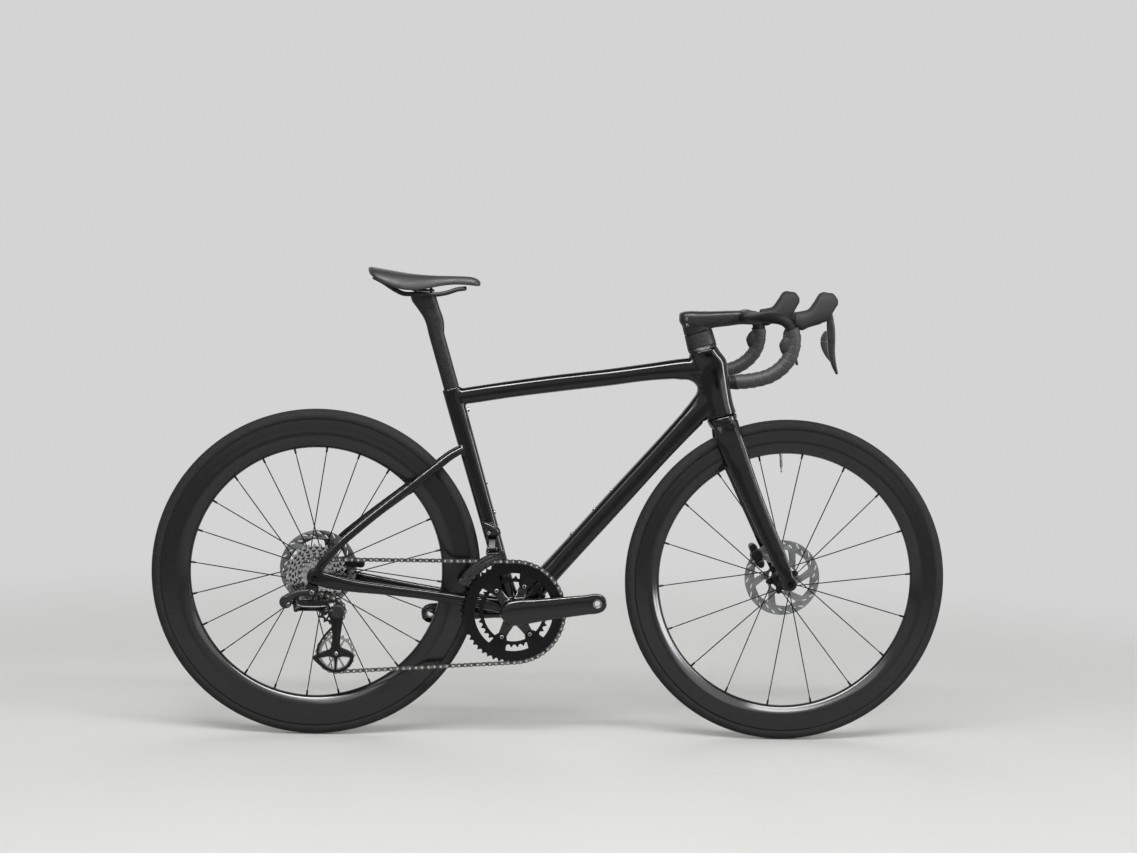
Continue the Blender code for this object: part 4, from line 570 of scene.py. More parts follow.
# forged aluminium, anodised dark and polished: deep black with soft broad highlights
CRANK_BLACK = finish("crank_black", "gloss_carbon", "0c0c0d", 0.24, 0.3, Coat_Weight=0.8, Coat_Roughness=0.1,
                     Specular_IOR_Level=0.15, gloss=(clouds(30.0), 0.18, 0.28),
                     relief=(clouds(5.0), 0.02, 0.2))
FRONT_ROTOR_STEEL = turned_metal("front_rotor_steel", FRONT_AXLE, "9b9c9d", "77787a", 0.28)
REAR_ROTOR_STEEL = turned_metal("rear_rotor_steel", REAR_AXLE, "8b8c8d", "68696a", 0.3)
COG_STEEL = turned_metal("cog_steel", REAR_AXLE, "dcdcdc", "8d8e8f", 0.22, 1.6)
# the webs and carrier between the cogs are coloured dark: partly oil, partly painted shade in the deep
# recesses between the cogs
COG_WEBS_OIL_AND_SHADE = turned_metal("cog_webs_oil_and_painted_shade", REAR_AXLE, "3c3c3d", "1f1f20", 0.42, 1.6)
RING_BLACK = turned_metal("ring_black", BB, "2d2d2f", "1c1c1e", 0.26, 0.9, "dark_alloy")
CHAIN_STEEL = worn_steel("chain_steel_plated", "8c8c8b", "454544", 0.22, "chain_steel")
INNER_LINK_STEEL = worn_steel("inner_link_steel", "5d5d5c", "2c2b2a", 0.3, "chain_steel")
# the rivets are near white: polished pins, brightened further into a painted highlight on each pin
RIVET_STEEL_PAINTED_HIGHLIGHT = worn_steel("rivet_steel_polished_and_painted_highlight", "eeeeec", "c4c4c2", 0.2)
# shiny steel cage whose colour is darkened as a painted reflection of dark surroundings
CAGE_STEEL_PAINTED_DARK_REFLECTION = worn_steel("cage_steel_painted_dark_reflection", "505051", "2b2b2b", 0.16)
ALLOY = worn_steel("machined_alloy", "b0b0b0", "7c7c7d", 0.26)
BOLT_STEEL = worn_steel("bolt_steel", "9c9da0", "6f7073", 0.3)
SPOKE_STEEL = worn_steel("spoke_black_steel", "26272a", "17181a", 0.32)
BRAKE_PAD = worn_steel("sintered_pad", "5a564f", "3a3733", 0.6, "brake_pad")


# Frame
def frame_shell():
    """Tubes lofted through their stations and fused into one moulded shell, then bored."""
    head = stack([(*steer_point(t, (front - rear) / 2), (front + rear) / 2, width)
                  for t, front, rear, width in (
                      (HEAD_LOW + 0.3, 34, 29, 29), (388, 33, 30, 27), (420, 35, 31, 24), (455, 39, 31, 23),
                      (484, 41, 31, 25), (498, 35, 30.5, 28), (HEAD_TOP, 29.5, 29.5, 29.5))], STEER_FORWARD,
                 LEFT, 2.3, 40, 40)
    top_tube = tube([
        (322, 0, 783, 22, 19), (262, 0, 778, 21.5, 19), (190, 0, 769, 18.5, 18.5), (100, 0, 755, 18, 18),
        (0, 0, 741, 18, 17), (-110, 0, 724, 17.5, 16), (-178, 0, 712, 17.5, 15), (-214, 0, 706, 17, 14)],
        2.5, 40, 90)
    down_tube = tube([
        (336, 0, 734, 26, 20), (290, 0, 684, 24, 20), (240, 0, 628, 22, 20), (130, 0, 502, 22, 21),
        (10, 0, 364, 22, 23), (-50, 0, 296, 23, 28), (-84, 0, 262, 20, 30)], 2.8, 40, 100)
    seat_tube = stack([(*seat_point(t), depth, width) for t, depth, width in (
        (2, 19, 30), (60, 17, 24), (150, 17, 17), (260, 17.5, 16), (370, 18.5, 15.5), (430, 19, 15.5),
        (478, 19, 15.5))],
        SEAT_FORWARD, LEFT, 2.6, 40, 70)
    # the web that rounds the main triangle's front corner
    web = tube([(236, 0, 768, 12, 15), (251, 0, 766, 12, 16), (274, 0, 765, 12, 17),
                (292.5, 0, 755.6, 12, 18), (302, 0, 741.6, 12, 18), (300.8, 0, 724.6, 12, 18),
                (288.7, 0, 704.6, 12, 17), (265, 0, 673, 11, 16), (254, 0, 654, 9, 14)], 2.3, 32, 60)
    parts = [skin(rows) for rows in (head, top_tube, down_tube, seat_tube, web)]
    parts.append(rod(BB - LEFT * 34, BB + LEFT * 34, 25.5, sides=48, edge=1.5))
    for side in (-1, 1):
        chainstay = tube([
            (-84, 18, 270, 15, 14), (-150, 27, 283, 11, 8), (-200, 29.5, 290, 10.5, 7),
            (-260, 35, 299, 10, 6.5), (-340, 50, 310, 10.5, 6.5), (-420, 66, 321, 13, 6.5),
            (-462, 75, 330, 15, 4.2), (-489, 75.2, 337, 15, 3.5)],
            2.8, 32, 90)
        seatstay = tube([
            (-190, 8, 603, 8.5, 7.5), (-216, 19, 588, 8.5, 6.5), (-250, 29, 561, 8.5, 5.5),
            (-321, 39, 504, 8.5, 5.5), (-400, 55, 440, 8.5, 5.5), (-446, 68, 399, 8.5, 5),
            (-474, 75, 366, 9.5, 3.6), (-488, 75, 339, 10.5, 3.1)],
            2.3, 32, 90)
        parts += [mirrored(skin(rows), -side) for rows in (chainstay, seatstay)]
        parts.append(rod(REAR_AXLE + LEFT * side * 71.3, REAR_AXLE + LEFT * side * 79, 17, sides=40,
                         edge=1.0))
    shell = fused(joined(*parts), 2.2, 44)
    post = rings([seat_point(t, 0.6) for t in (218, 540)], SEAT_FORWARD, LEFT, 16.3, 11.9, 2.4, 40)
    return carve(
        shell,
        joined(rod(steer_point(340), steer_point(HEAD_LOW + 12), 26.4, sides=48),
               rod(steer_point(HEAD_TOP - 12), steer_point(HEAD_TOP + 20), 26.4, sides=48),
               rod(BB - LEFT * 60, BB + LEFT * 60, 18.2, sides=48),
               rod(REAR_AXLE - LEFT * 100, REAR_AXLE + LEFT * 100, AXLE_HOLE, sides=32), skin(post)),
        rod(steer_point(330), steer_point(HEAD_TOP + 30), 19.0, sides=40),
        rod(steer_point(300), steer_point(HEAD_LOW + 0.3), 42.0, sides=64, edge=0.1))


piece("frame_shell", frame_shell(), LACQUER, "frame_body", "frame", crease=40)


def boss_screws():
    """The bottle screws on the down tube and seat tube, and the cable cover's screw under the head."""
    normal = unit((-0.74, 0, 0.67))
    screws = [bolt((x, 0, z), normal, 4.2, 2.6) for x, z in ((36.5, 427.0), (82.3, 479.0), (117.7, 519.5))]
    screws += [bolt(seat_point(t, 17.4), SEAT_FORWARD, 4.2, 2.4, sink=0.5) for t in (205, 269)]
    return joined(*screws, bolt((303.0, 0, 731.0), unit((-0.8, 0, 0.6)), 3.4, 2.2))


piece("boss_screws", boss_screws(), BOLT_STEEL, "frame_body")


def hanger():
    """A milled plate under the right dropout, with its screw."""
    outline = soften([(-504, 328), (-508, 312), (-503, 300), (-494, 296.5), (-485, 300), (-481, 308),
                      (-481, 317), (-489, 320.2), (-497, 321.5)], 4, 4)
    return joined(side_plate([outline], -75.3, 7.0, 0.8), bolt((-488, -78.6, 312), -LEFT, 3.0, 0.6))


piece("mech_hanger", hanger(), ANODISED, "frame_body", "derailleur_hanger")


def headset():
    """Cover, bearings and split spacers, as rings stacked on the steering axis."""
    for name, low in (("lower", HEAD_LOW + 1.0), ("upper", HEAD_TOP - 8.6)):
        profile = soften([(15.1, low), (25, low), (25, low + 8), (15.1, low + 8)], 1.0)
        piece("headset_bearing_ring_" + name, spin(profile, STEER_FOOT, STEER_UP, 64), BOLT_STEEL,
              "frame_body", "headset_bearing_" + name)
    hole = rod(steer_point(490), steer_point(570), STEERER_HOLE, sides=48)
    rows = [(*steer_point(t), a, b) for t, a, b in (
        (HEAD_TOP + 0.3, 29.5, 29.0), (HEAD_TOP + 4, 30.2, 27.6), (HEAD_TOP + 7.2, 30.4, 25.4))]
    cover = blunt(stack(rows, STEER_FORWARD, LEFT, 2.2, 56, 8), 0, 0.8)
    piece("headset_top_cover", carve(skin(cover), hole), PLASTIC, "frame_body", "headset_cover")
    low, high, gap, edge = HEAD_TOP + 8.3, 550.7, 0.03, 0.12
    parts = []
    for k in range(3):
        foot, top = low + (high - low) * k / 3 + gap, low + (high - low) * (k + 1) / 3 - gap
        levels = np.array([foot + edge, (foot + top) / 2, top - edge])
        rows = [(*steer_point(t), 30.5 - 1.1 * share, 25 - 2 * share)
                for t, share in zip(levels, (levels - low) / (high - low))]
        spacer = blunt(stack(rows, STEER_FORWARD, LEFT, 2.2, 56, 24), edge, edge, 1)
        parts.append(carve(skin(spacer), hole))
    piece("headset_spacer_stack", joined(*parts), PLASTIC, "steering", "headset_spacers")


headset()


# Seatpost and saddle
RAIL_Z, RAIL_Y = 917.5, 22.0
POST_HEAD_Z = RAIL_Z - 4.6 - 0.3


def seatpost():
    """An oval post whose rear sweeps back under the rails."""
    rows = [(*seat_point(t, 0.6), 15.9, 11.5) for t in (310, 400, 480, 540, 590)]
    rows += [((front + rear) / 2, 0, z, (front - rear) / 2, width) for z, front, rear, width in (
        (868, -240.5, -281.0, 11.5), (888, -248, -295, 12.5), (903, -253, -306, 16),
        (POST_HEAD_Z, -256, -309, 18))]
    lower = stack(rows[:5], SEAT_FORWARD, LEFT, 2.4, 48, 40)
    upper = stack(rows[4:], FORWARD, LEFT, 2.4, 48, 40)
    # the ring's plane swings from square to the post to level over the bend
    t = np.linspace(0, 1, 10)[:, None, None]
    ease = t ** 2 * (3 - 2 * t)
    path = through(rows[4:], 40)[:10]
    start = rings(path[:, :3], SEAT_FORWARD, LEFT, path[:, 3], path[:, 4], 2.4, 48)
    upper[:10] = start * (1 - ease) + upper[:10] * ease
    return skin(np.concatenate([lower[:-1], upper]))


piece("aero_seatpost", seatpost(), SATIN, "seatpost_body", "seatpost")


def saddle_clamp():
    """A rounded plate across the rails, and two bolts whose shanks reach down into the post."""
    low = RAIL_Z + 4.9
    block = slab((-283, 0, low + 2.5), (46, 2 * RAIL_Y + 12, 5), edge=1.8)
    bolts = [bolt((x, 0, low + 4.6), UP, 3.2, 3.2) for x in (-299, -267)]
    shanks = [rod((x, 0, POST_HEAD_Z + 0.3), (x, 0, low + 4), 2.6) for x in (-299, -267)]
    return joined(block, *bolts, *shanks)


piece("saddle_clamp_plate", saddle_clamp(), ANODISED, "seatpost_body", "saddle_clamp")

SADDLE_ROWS = (
    (-397, 46, 972, 957, 1.5), (-380, 66, 970, 941, 3), (-350, 71, 966, 926, 5), (-318, 64, 961, 917, 7),
    (-285, 47, 958.5, 921, 8), (-255, 33, 957.5, 930, 8), (-225, 25, 957.5, 936, 7),
    (-195, 21, 957.5, 936, 4), (-175, 19, 954.5, 934, 1.5), (-165, 12, 946, 935, 0))


def saddle():
    """A short-nosed saddle: a cage of rings through (x, half width, top, skirt, channel depth), each
    crowned with a channel, drawn down at its sides and open beneath; subdivision rounds it off."""
    x, half, top, skirt, channel = np.array(SADDLE_ROWS, float).T
    wall = np.minimum(7.0, half * 0.35)
    under = skirt + (top - skirt) * 0.45
    arch = [(0 * half, top - channel), (half * 0.28, top - channel * 0.2), (half * 0.72, top - 2.0),
            (half, top * 0.4 + skirt * 0.6), (half - wall * 0.4, skirt - 1.0), (half * 0.62, under),
            (0 * half, np.maximum(under, top - 14.0))]
    ring = arch + [(-y, z) for y, z in reversed(arch[1:-1])]
    return skin(np.stack([np.stack([x, y, z], 1) for y, z in ring], 1))


seat = piece("saddle_cover", saddle(), SADDLE_SKIN, "saddle_body", "saddle", crease=180)
smooth = seat.modifiers.new("smooth", "SUBSURF")
smooth.levels = smooth.render_levels = 3


def saddle_rails():
    """One oval rail, swept through its bends and round under the nose."""
    half = [(-384, 34, 949), (-366, 31, 940), (-340, 26, 924), (-326, RAIL_Y, RAIL_Z), (-290, RAIL_Y, RAIL_Z),
            (-250, RAIL_Y, RAIL_Z), (-234, RAIL_Y - 1, 921), (-212, 15, 928.5), (-199, 8, 930.5)]
    route = [(x, -y, z, 3.5, 4.6) for x, y, z in half] + [(x, y, z, 3.5, 4.6) for x, y, z in reversed(half)]
    path = through(route, 150)
    along = unit(np.gradient(path[:, :3], axis=0))
    upright = unit(UP - along * (along @ UP)[:, None])
    return skin(blunt(rings(path[:, :3], np.cross(along, upright), upright, 3.5, 4.6, 2.2, 20), 1.5, 1.5))


piece("saddle_rail_loop", saddle_rails(), SATIN, "saddle_body", "saddle_rails")
piece("seatpost_wedge_screw", bolt(seat_point(425, 19.6), SEAT_FORWARD, 4.5, 4.5, sink=0.1), BOLT_STEEL,
      "frame_body", "seatpost_wedge_bolt")


# Stem and bar
def stem():
    """A deep stem: softened box rings through (x, top, low, half width), on a boss round the steerer."""
    stations = np.array([(251, 893, 872, 17), (256, 895.4, 864, 21), (262, 896.5, 860, 23),
                         (300, 897.5, 859.5, 23), (325, 898.5, 864.5, 21), (350, 900, 868, 19.5),
                         (376, 901, 872.0, 19.5), (391, 901.3, 872.2, 19.5)], float)
    path = through(np.c_[stations[:, :1], np.zeros((len(stations), 2)), stations[:, 1:]], 70)
    x, top, low, width = path[:, 0], path[:, 3], path[:, 4], path[:, 5]
    centres = np.stack([x, 0 * x, (top + low) / 2], 1)
    body = skin(blunt(rings(centres, UP, LEFT, (top - low) / 2, width, 3.6, 56), 3.0, 0))
    rows = [(*steer_point(t), a, b) for t, a, b in ((551.6, 29.3, 23), (575, 28.5, 23), (590, 26.5, 21))]
    boss = skin(blunt(stack(rows, STEER_FORWARD, LEFT, 2.4, 56, 20), 0.6, 2.0))
    hole = rod(steer_point(530), steer_point(593), STEERER_HOLE, sides=48)
    shell = carve(fused(joined(body, boss), 1.6, 8), hole, stem_face(0.25))
    screws = [bolt((x, -22.4, z), -LEFT, 3.3, 0.9, 0.55) for x, z in ((261.0, 880.5), (263.0, 868.0))]
    return shell, joined(*screws)


def stem_face(room=0.0):
    """The moulded sleeve that wraps the bar in front of the stem: superellipse rings across the bike,
    drawn in to the bar at both ends; with room, the hollow for it in the stem."""
    y = np.array([-37.0, -33.0, -27.0, -20.0, -10.0, 0.0])
    chord = np.array([21.6, 22.3, 24.0, 25.6, 26.4, 26.6])
    thick = np.array([12.6, 12.9, 13.7, 14.4, 14.7, 14.7])
    y, chord, thick = np.r_[y, -y[-2::-1]], np.r_[chord, chord[-2::-1]], np.r_[thick, thick[-2::-1]]
    path = through(np.c_[396 - (chord - 21) * 0.3, y, np.full(len(y), 887.0), chord, thick], 40)
    return skin(rings(path[:, :3], FORWARD, UP, path[:, 3] + room, path[:, 4] + room, 2.2, 56))


stem_shell, stem_screws = stem()
piece("stem_shell", stem_shell, SATIN, "steering", "stem", crease=40)
piece("stem_face_sleeve", stem_face(), BAR_CARBON, "steering")
piece("stem_screws", stem_screws, BOLT_STEEL, "steering")

BAR = [(396, 0, 887, 21, 12.2), (396, -40, 887, 21, 12.2), (398, -95, 888, 20, 11),
       (404, -145, 889.5, 17, 11)]
BAR += [(*place, BAR_RADIUS, BAR_RADIUS) for place in (
    (413, -176, 890), (424, -192, 889), (436, -201, 884), (446, -205, 872), (450.5, -206, 855),
    (450.5, -207, 836), (444, -208, 813), (430, -209, 793.5), (407, -210, 776.5), (375, -211, 766.5),
    (345, -212, 762.5), (324, -212, 761.5))]
TAPED_FROM = 7  # the station where the tape and the round drop start


def handlebar():
    """Flat aero tops that round off into the drops; the right half's rings, mirrored for the left."""
    half = tube(BAR, 2.0, 32, 150, FORWARD)
    left = half[:0:-1] * (1, -1, 1)
    return skin(np.concatenate([left, half]))


piece("aero_handlebar", handlebar(), BAR_CARBON, "steering", "handlebar")

TAPE_TURNS, TAPE_STEPS = 11, 30


def drop_path(count):
    """Evenly spaced points of the right drop's taped part, and its length."""
    dense = through([row[:3] for row in BAR[TAPED_FROM:]], 600)
    length = np.r_[0.0, np.cumsum(np.linalg.norm(np.diff(dense, axis=0), axis=1))]
    at = np.linspace(0, length[-1], count)
    return np.stack([np.interp(at, length, dense[:, k]) for k in range(3)], 1), length[-1]


def tape():
    """A strip wound as a helix from the bar's end: centre + (a·cos t + b·sin t)·r, where r rises over
    the strip's width from the bar to the top of the turn before, with rounded edges."""
    path, length = drop_path(300)
    path = path[::-1]
    first, second = frames_along(path, FORWARD)
    count = TAPE_TURNS * TAPE_STEPS
    pitch = length / (TAPE_TURNS + 1)
    width = pitch + 3.4
    k = np.arange(count + 1)
    across = np.array([0.0, 0.02, 0.1, 0.3, 0.55, 0.8, 0.94, 0.985, 1.0, 0.97, 0.6, 0.25, 0.03])
    radius = np.array([12.6, 13.3, 13.9, 14.35, 14.8, 15.2, 15.4, 15.25, 14.6, 13.7, 12.4, 12.1, 12.2])
    at = np.clip((length - width) * (k / count)[:, None] + width * across[None, :], 0,
                 length) / length * (len(path) - 1)
    i = np.minimum(at.astype(int), len(path) - 2)
    t = (at - i)[..., None]
    turn = (tau * k / TAPE_STEPS)[:, None, None]
    spot, a, b = (v[i] * (1 - t) + v[i + 1] * t for v in (path, first, second))
    return skin(spot + (a * np.cos(turn) + b * np.sin(turn)) * radius[None, :, None])


def bar_plug():
    """The round plug in the bar's end, with a shallow dished face."""
    path, _ = drop_path(40)
    end, away = path[-1], unit(path[-1] - path[-3])
    profile = [(2, 1.2), (9, 1.2), (11.2, 2.2), (12.6, 1.8), (12.8, 0.6), (12.2, 0.1), (11, -0.6),
               (10.2, -10), (2, -10)]
    return spin(profile, end - away * 1.6, away, 40, closed=False)


# Controls
LEVER_PIVOT = np.array((517.0, -206.5, 903.0))
BLADE = ((906, 520, 6, 4.2), (890, 522.5, 7, 4.2), (872, 524.5, 8.2, 3.8), (850, 526, 8, 3.4),
         (825, 527.5, 6.6, 3.4), (802, 532, 5.2, 3.4), (784, 538.5, 2.6, 2.4))


def hood():
    """Rubber hood: superellipse rings through (x, half width, top, bottom), slotted for the blade."""
    rows = np.array([(452, 14, 903, 874), (466, 15.5, 905.5, 867), (480, 16, 911, 873), (491, 16, 927, 876.5),
                     (499, 15.4, 940, 879), (506, 14.8, 943.8, 881.5), (517, 13.5, 943, 886),
                     (529, 11, 940, 905), (535.5, 8, 931.5, 917)], float)
    path = through(np.c_[rows[:, :1], np.zeros((len(rows), 2)), rows[:, 1:]], 64)
    x, half, top, low = path[:, 0], path[:, 3], path[:, 4], path[:, 5]
    centres = np.stack([x, 0 * x - HOOD_SPACING, (top + low) / 2], 1)
    body = skin(blunt(rings(centres, UP, LEFT, (top - low) / 2, half, 2.3, 40), 2.0, 1.5))
    slot = slab((521, LEVER_PIVOT[1] - 0.9, 893), (32, 11.4, 46), edge=0.8)
    return carve(fused(body, 1.2, 6), slot)


def blade_stations():
    """The blade's stations as (x, y, z, half depth, half width), slanted in towards its tip."""
    return [(x, LEVER_PIVOT[1] - (906 - z) * 0.06, z, depth, width) for z, x, depth, width in BLADE]


def lever():
    """The blade: superellipse rings down its curve, its tip rounded."""
    return skin(blunt(tube(blade_stations(), 2.4, 28, 60), 2.0, 2.2))


def button(low, high, reach, foot, widest):
    """A thin paddle behind the blade: softened rings from its hinge edge to its rear, whose reach
    grows from a foot at its far end to its widest height as 1 - (1 - u)²."""
    z = np.linspace(low, high, 14)
    path = through(blade_stations(), 200)
    order = np.argsort(path[:, 2])
    x, y, depth = (np.interp(z, path[order, 2], path[order, k]) for k in (0, 1, 3))
    front = x - depth - 0.45
    u = 1 - np.abs(z - widest) / (high - low)
    back = front - foot - (reach - foot) * (1 - (1 - u) ** 2)
    centres = np.stack([(front + back) / 2, y, z], 1)
    return skin(blunt(rings(centres, FORWARD, LEFT, (front - back) / 2, 1.6, 3.0, 20), 0.3, 0.3, 2))


def drop_button():
    """A small oval push button under the tape, on the drop's inner bend: a domed ellipsoid, and a
    raised middle."""
    foot, away = np.array((440.0, -207.0, 836.0)), unit((-0.97, 0.0, 0.1))
    upright = unit(UP - away * (away @ UP))
    a = np.linspace(0, radians(82), 9)
    dome = rings(foot + away * (16.0 * np.sin(a))[:, None], upright, LEFT, 21 * np.cos(a), 10.5 * np.cos(a),
                 2.2, 32)
    cap = rings(foot + away * (14.6 + 2.6 * np.sin(a))[:, None], upright, LEFT, 7 * np.cos(a),
                4.6 * np.cos(a), 2.0, 24)
    return skin(dome), skin(cap)


for label, side in SIDES:
    dome, cap = drop_button()
    piece("drop_button_cover_" + label, mirrored(dome, side), HOOD_RUBBER, "steering")
    piece("drop_button_cap_" + label, mirrored(cap, side), GLOSS_PLASTIC, "steering")
    piece("wound_bar_tape_" + label, mirrored(tape(), side), TAPE, "steering", "bar_tape_" + label, crease=50)
    piece("bar_end_plug_" + label, mirrored(bar_plug(), side), PLASTIC, "steering")
    piece("lever_hood_" + label, mirrored(hood(), side), HOOD_RUBBER, "steering", "brake_hood_" + label,
          crease=40)
    piece("lever_blade_" + label, mirrored(lever(), side), SATIN, "lever_" + label, "brake_lever_" + label)
    for place, low, high, reach, foot, widest in (("upper", 846.5, 867, 13.5, 4.0, 846.5),
                                                  ("lower", 808, 845.8, 14.0, 1.2, 845.8)):
        piece("shift_paddle_%s_%s" % (place, label), mirrored(button(low, high, reach, foot, widest), side),
              PLASTIC, "button_%s_%s" % (place, label), "shift_button_%s_%s" % (place, label))


# Fork
def fork_shell():
    """Steerer, crown and two bladed legs, fused into one moulding and bored for the axle."""
    rows = [(*steer_point(t, (front - rear) / 2), (front + rear) / 2, width) for t, front, rear, width in (
        (350, 30, 25, 30), (360, 33, 28, 31), (HEAD_LOW - 0.4, 34, 29, 29))]
    crown = stack(rows, STEER_FORWARD, LEFT, 2.3, 48, 16)
    parts = [skin(crown), rod(steer_point(352), steer_point(591), STEERER_RADIUS, sides=48)]
    for side in (-1, 1):
        leg = tube([(350, 16, 668, 26, 12), (356, 27, 640, 27, 10), (370, 32.5, 603, 26, 9),
                    (394, 37.5, 546, 22.5, 8), (430, 44.6, 466, 19, 7.3), (462, 52, 398, 17.5, 6),
                    (478, 55.8, 362, 15, 4.8), (488, 55.8, 336, 12.5, 4.8)], 2.5, 36, 100)
        parts.append(mirrored(skin(blunt(leg, 0, 2.0)), -side))
        parts.append(rod(FRONT_AXLE + LEFT * side * 50.3, FRONT_AXLE + LEFT * side * 60, 15.5, sides=40,
                         edge=1.0))
    return carve(fused(joined(*parts), 2.1),
                 rod(FRONT_AXLE - LEFT * 80, FRONT_AXLE + LEFT * 80, AXLE_HOLE, sides=32))


piece("fork_shell", fork_shell(), LACQUER, "steering", "fork", crease=40)


# Wheels
def tyre():
    """A tyre's section, round from bead to bead, turned on the axle: half width·cos a, crown·sin a."""
    a = np.linspace(radians(-28), radians(208), 29)
    outer = np.stack([324.2 + 13.8 * np.sin(a), 13.8 * np.cos(a)], 1)
    inner = [(311.5, -9.6), (311.5, 9.6)]
    return np.concatenate([outer, inner])


def rim_profile(inner):
    """A deep section: bead hooks, a belly that is widest at two fifths of the depth, a rounded nose."""
    edge, half = 316.5, 15.0
    deep = inner + (edge - inner) * 0.42
    side = through([(edge, 0, half + 0.1), (deep + 18, 0, half + 0.9), (deep, 0, half + 0.9),
                    (inner + 9, 0, 9.6), (inner + 2.2, 0, 4.6), (inner + 0.3, 0, 0.0)], 30)[:, [0, 2]]
    bed = [(edge, -half + 2.4), (edge - 1.5, -half + 2.0), (311, -11.2), (311, 11.2),
           (edge - 1.5, half - 2.0), (edge, half - 2.4)]
    return np.concatenate([side, (side * (1, -1))[-2::-1], bed])


def spokes(axle, first, step, count, kinds, inner):
    """Bladed spokes at equal steps, each of the next of three kinds of (tangent, reach, y): a centre
    line from hub to rim, flattened to 2.4 by 1.1 mm between round ends, as rings of eight points that
    narrow and widen with the way along."""
    t = np.array([0.0, 0.03, 0.06, 0.12, 0.88, 0.93, 0.96, 1.0])
    wide = np.array([1.1, 1.1, 1.0, 1.2, 1.2, 1.0, 1.0, 1.0])
    deep = np.array([1.1, 1.1, 1.0, 0.55, 0.55, 1.0, 1.0, 1.0])
    parts = []
    for k in range(count):
        tangent, reach, y = kinds[k % 3]
        radial, across = ways(first + step * k)
        start = axle + radial * sqrt(reach ** 2 - tangent ** 2) * 0.96 + across * tangent + LEFT * y
        end = axle + radial * (inner + 6.0)
        along = unit(end - start)
        thin = unit(LEFT - along * (along @ LEFT))
        centres = start + (end - start) * t[:, None]
        parts.append(skin(rings(centres, np.cross(along, thin), thin, wide, deep, 2.0, 8)))
        parts.append(rod(end - along * 15, end - along * 4, 2.0, 2.3, 10, 0.3))
    return joined(*parts)


def wheel(name, axle, inner, rubber, carbon, body):
    """Tyre and deep rim of one wheel."""
    piece(name + "_tyre_casing", spin(tyre(), axle, steps=160), rubber, body, name + "_tyre", crease=50)
    piece(name + "_deep_rim", spin(rim_profile(inner), axle, steps=160), carbon, body, name + "_rim",
          crease=40)


def rotor_shape(axle, y):
    """A brake disc: its band with two rows of slanted slots, six windows and slim slanted arms."""
    centre = flat(axle)
    window = ((0.10, 36), (0.60, 34), (0.95, 48), (1.10, 60), (0.70, 62), (0.34, 60))
    slots = (((0.0, 65.8), (0.05, 65.8), (0.16, 71.2), (0.11, 71.2)),
             ((0.22, 71.6), (0.27, 71.6), (0.38, 77.4), (0.33, 77.4)))
    outlines = [circle(centre, 80.0, 120), circle(centre, 29.0, 60)]
    outlines += [soften(polar(centre, window, tau * k / 6), 4, 4) for k in range(6)]
    outlines += [soften(polar(centre, slot, tau * k / 15), 1, 2) for k in range(15) for slot in slots]
    return side_plate(outlines, y, 1.8, 0.2)


def rotor_carrier(axle, y):
    """The dark centre of the disc: a six-armed plate, and a ridged lock ring outside it."""
    centre = flat(axle)
    star = 27 + 9 * np.clip(np.cos(tau * np.arange(120) / 120 * 6 - 1.9), -0.4, 1.0)
    ridges = 19.2 + 0.9 * np.sign(np.sin(tau * np.arange(96) / 96 * 16))
    return joined(side_plate([circle(centre, star, 120), circle(centre, 16.2, 40)], y, 2.6, 0.4),
                  side_plate([circle(centre, ridges, 96), circle(centre, 13.5, 40)], y + 2.6, 3.4, 0.3))


def front_hub():
    """Turned hub shell with two flanges, waisted between them."""
    profile = [(8.5, 49.7), (12, 49.7), (15.4, 44), (15.4, 32), (20, 31), (23, 25.5), (23, 19.5), (14, 15),
               (11.2, 4), (11, -18), (13, -25), (19, -28), (19, -33), (13, -36), (10.5, -42), (8.5, -49.7),
               (6.5, -49.7), (6.5, 49.7)]
    return spin(soften(profile, 1.2), FRONT_AXLE, steps=64)


def rear_hub():
    """Turned hub shell: rotor mount and flange on the left, wide flange beside the sprockets."""
    profile = [(9, 70.7), (12, 70.7), (15.4, 64), (15.4, 53), (20, 52), (23, 41.5), (23, 36), (15, 30),
               (13, 20), (13, 0), (15, -7), (24, -12.5), (24, -18.5), (17, -21), (6.5, -21), (6.5, 70.7)]
    return spin(soften(profile, 1.2), REAR_AXLE, steps=64)


def thru_axle(axle, width):
    """The axle with a low round head on the left and its threaded end on the right."""
    head, end = width / 2 + 10.4, -(width / 2 + 7)
    profile = [(8.5, head + 2.4), (8.5, head), (6, head), (6, end), (2.5, end), (2.5, head + 2.4)]
    return spin(soften(profile, 0.7), axle, steps=40)


def valve(axle, inner, angle):
    """A slim valve from the rim's nose towards the hub, with its nut and tip."""
    radial = ways(angle)[0]
    profile = [(3.6, -2), (3.6, 2.4), (2.9, 3.0), (2.9, 26), (2.3, 27), (2.3, 31), (1.3, 32), (1.3, 36),
               (2.0, 36.5), (2.0, 39), (1.0, 39.6)]
    return spin(profile, axle + radial * (inner + 1.0), -radial, 20, closed=False)


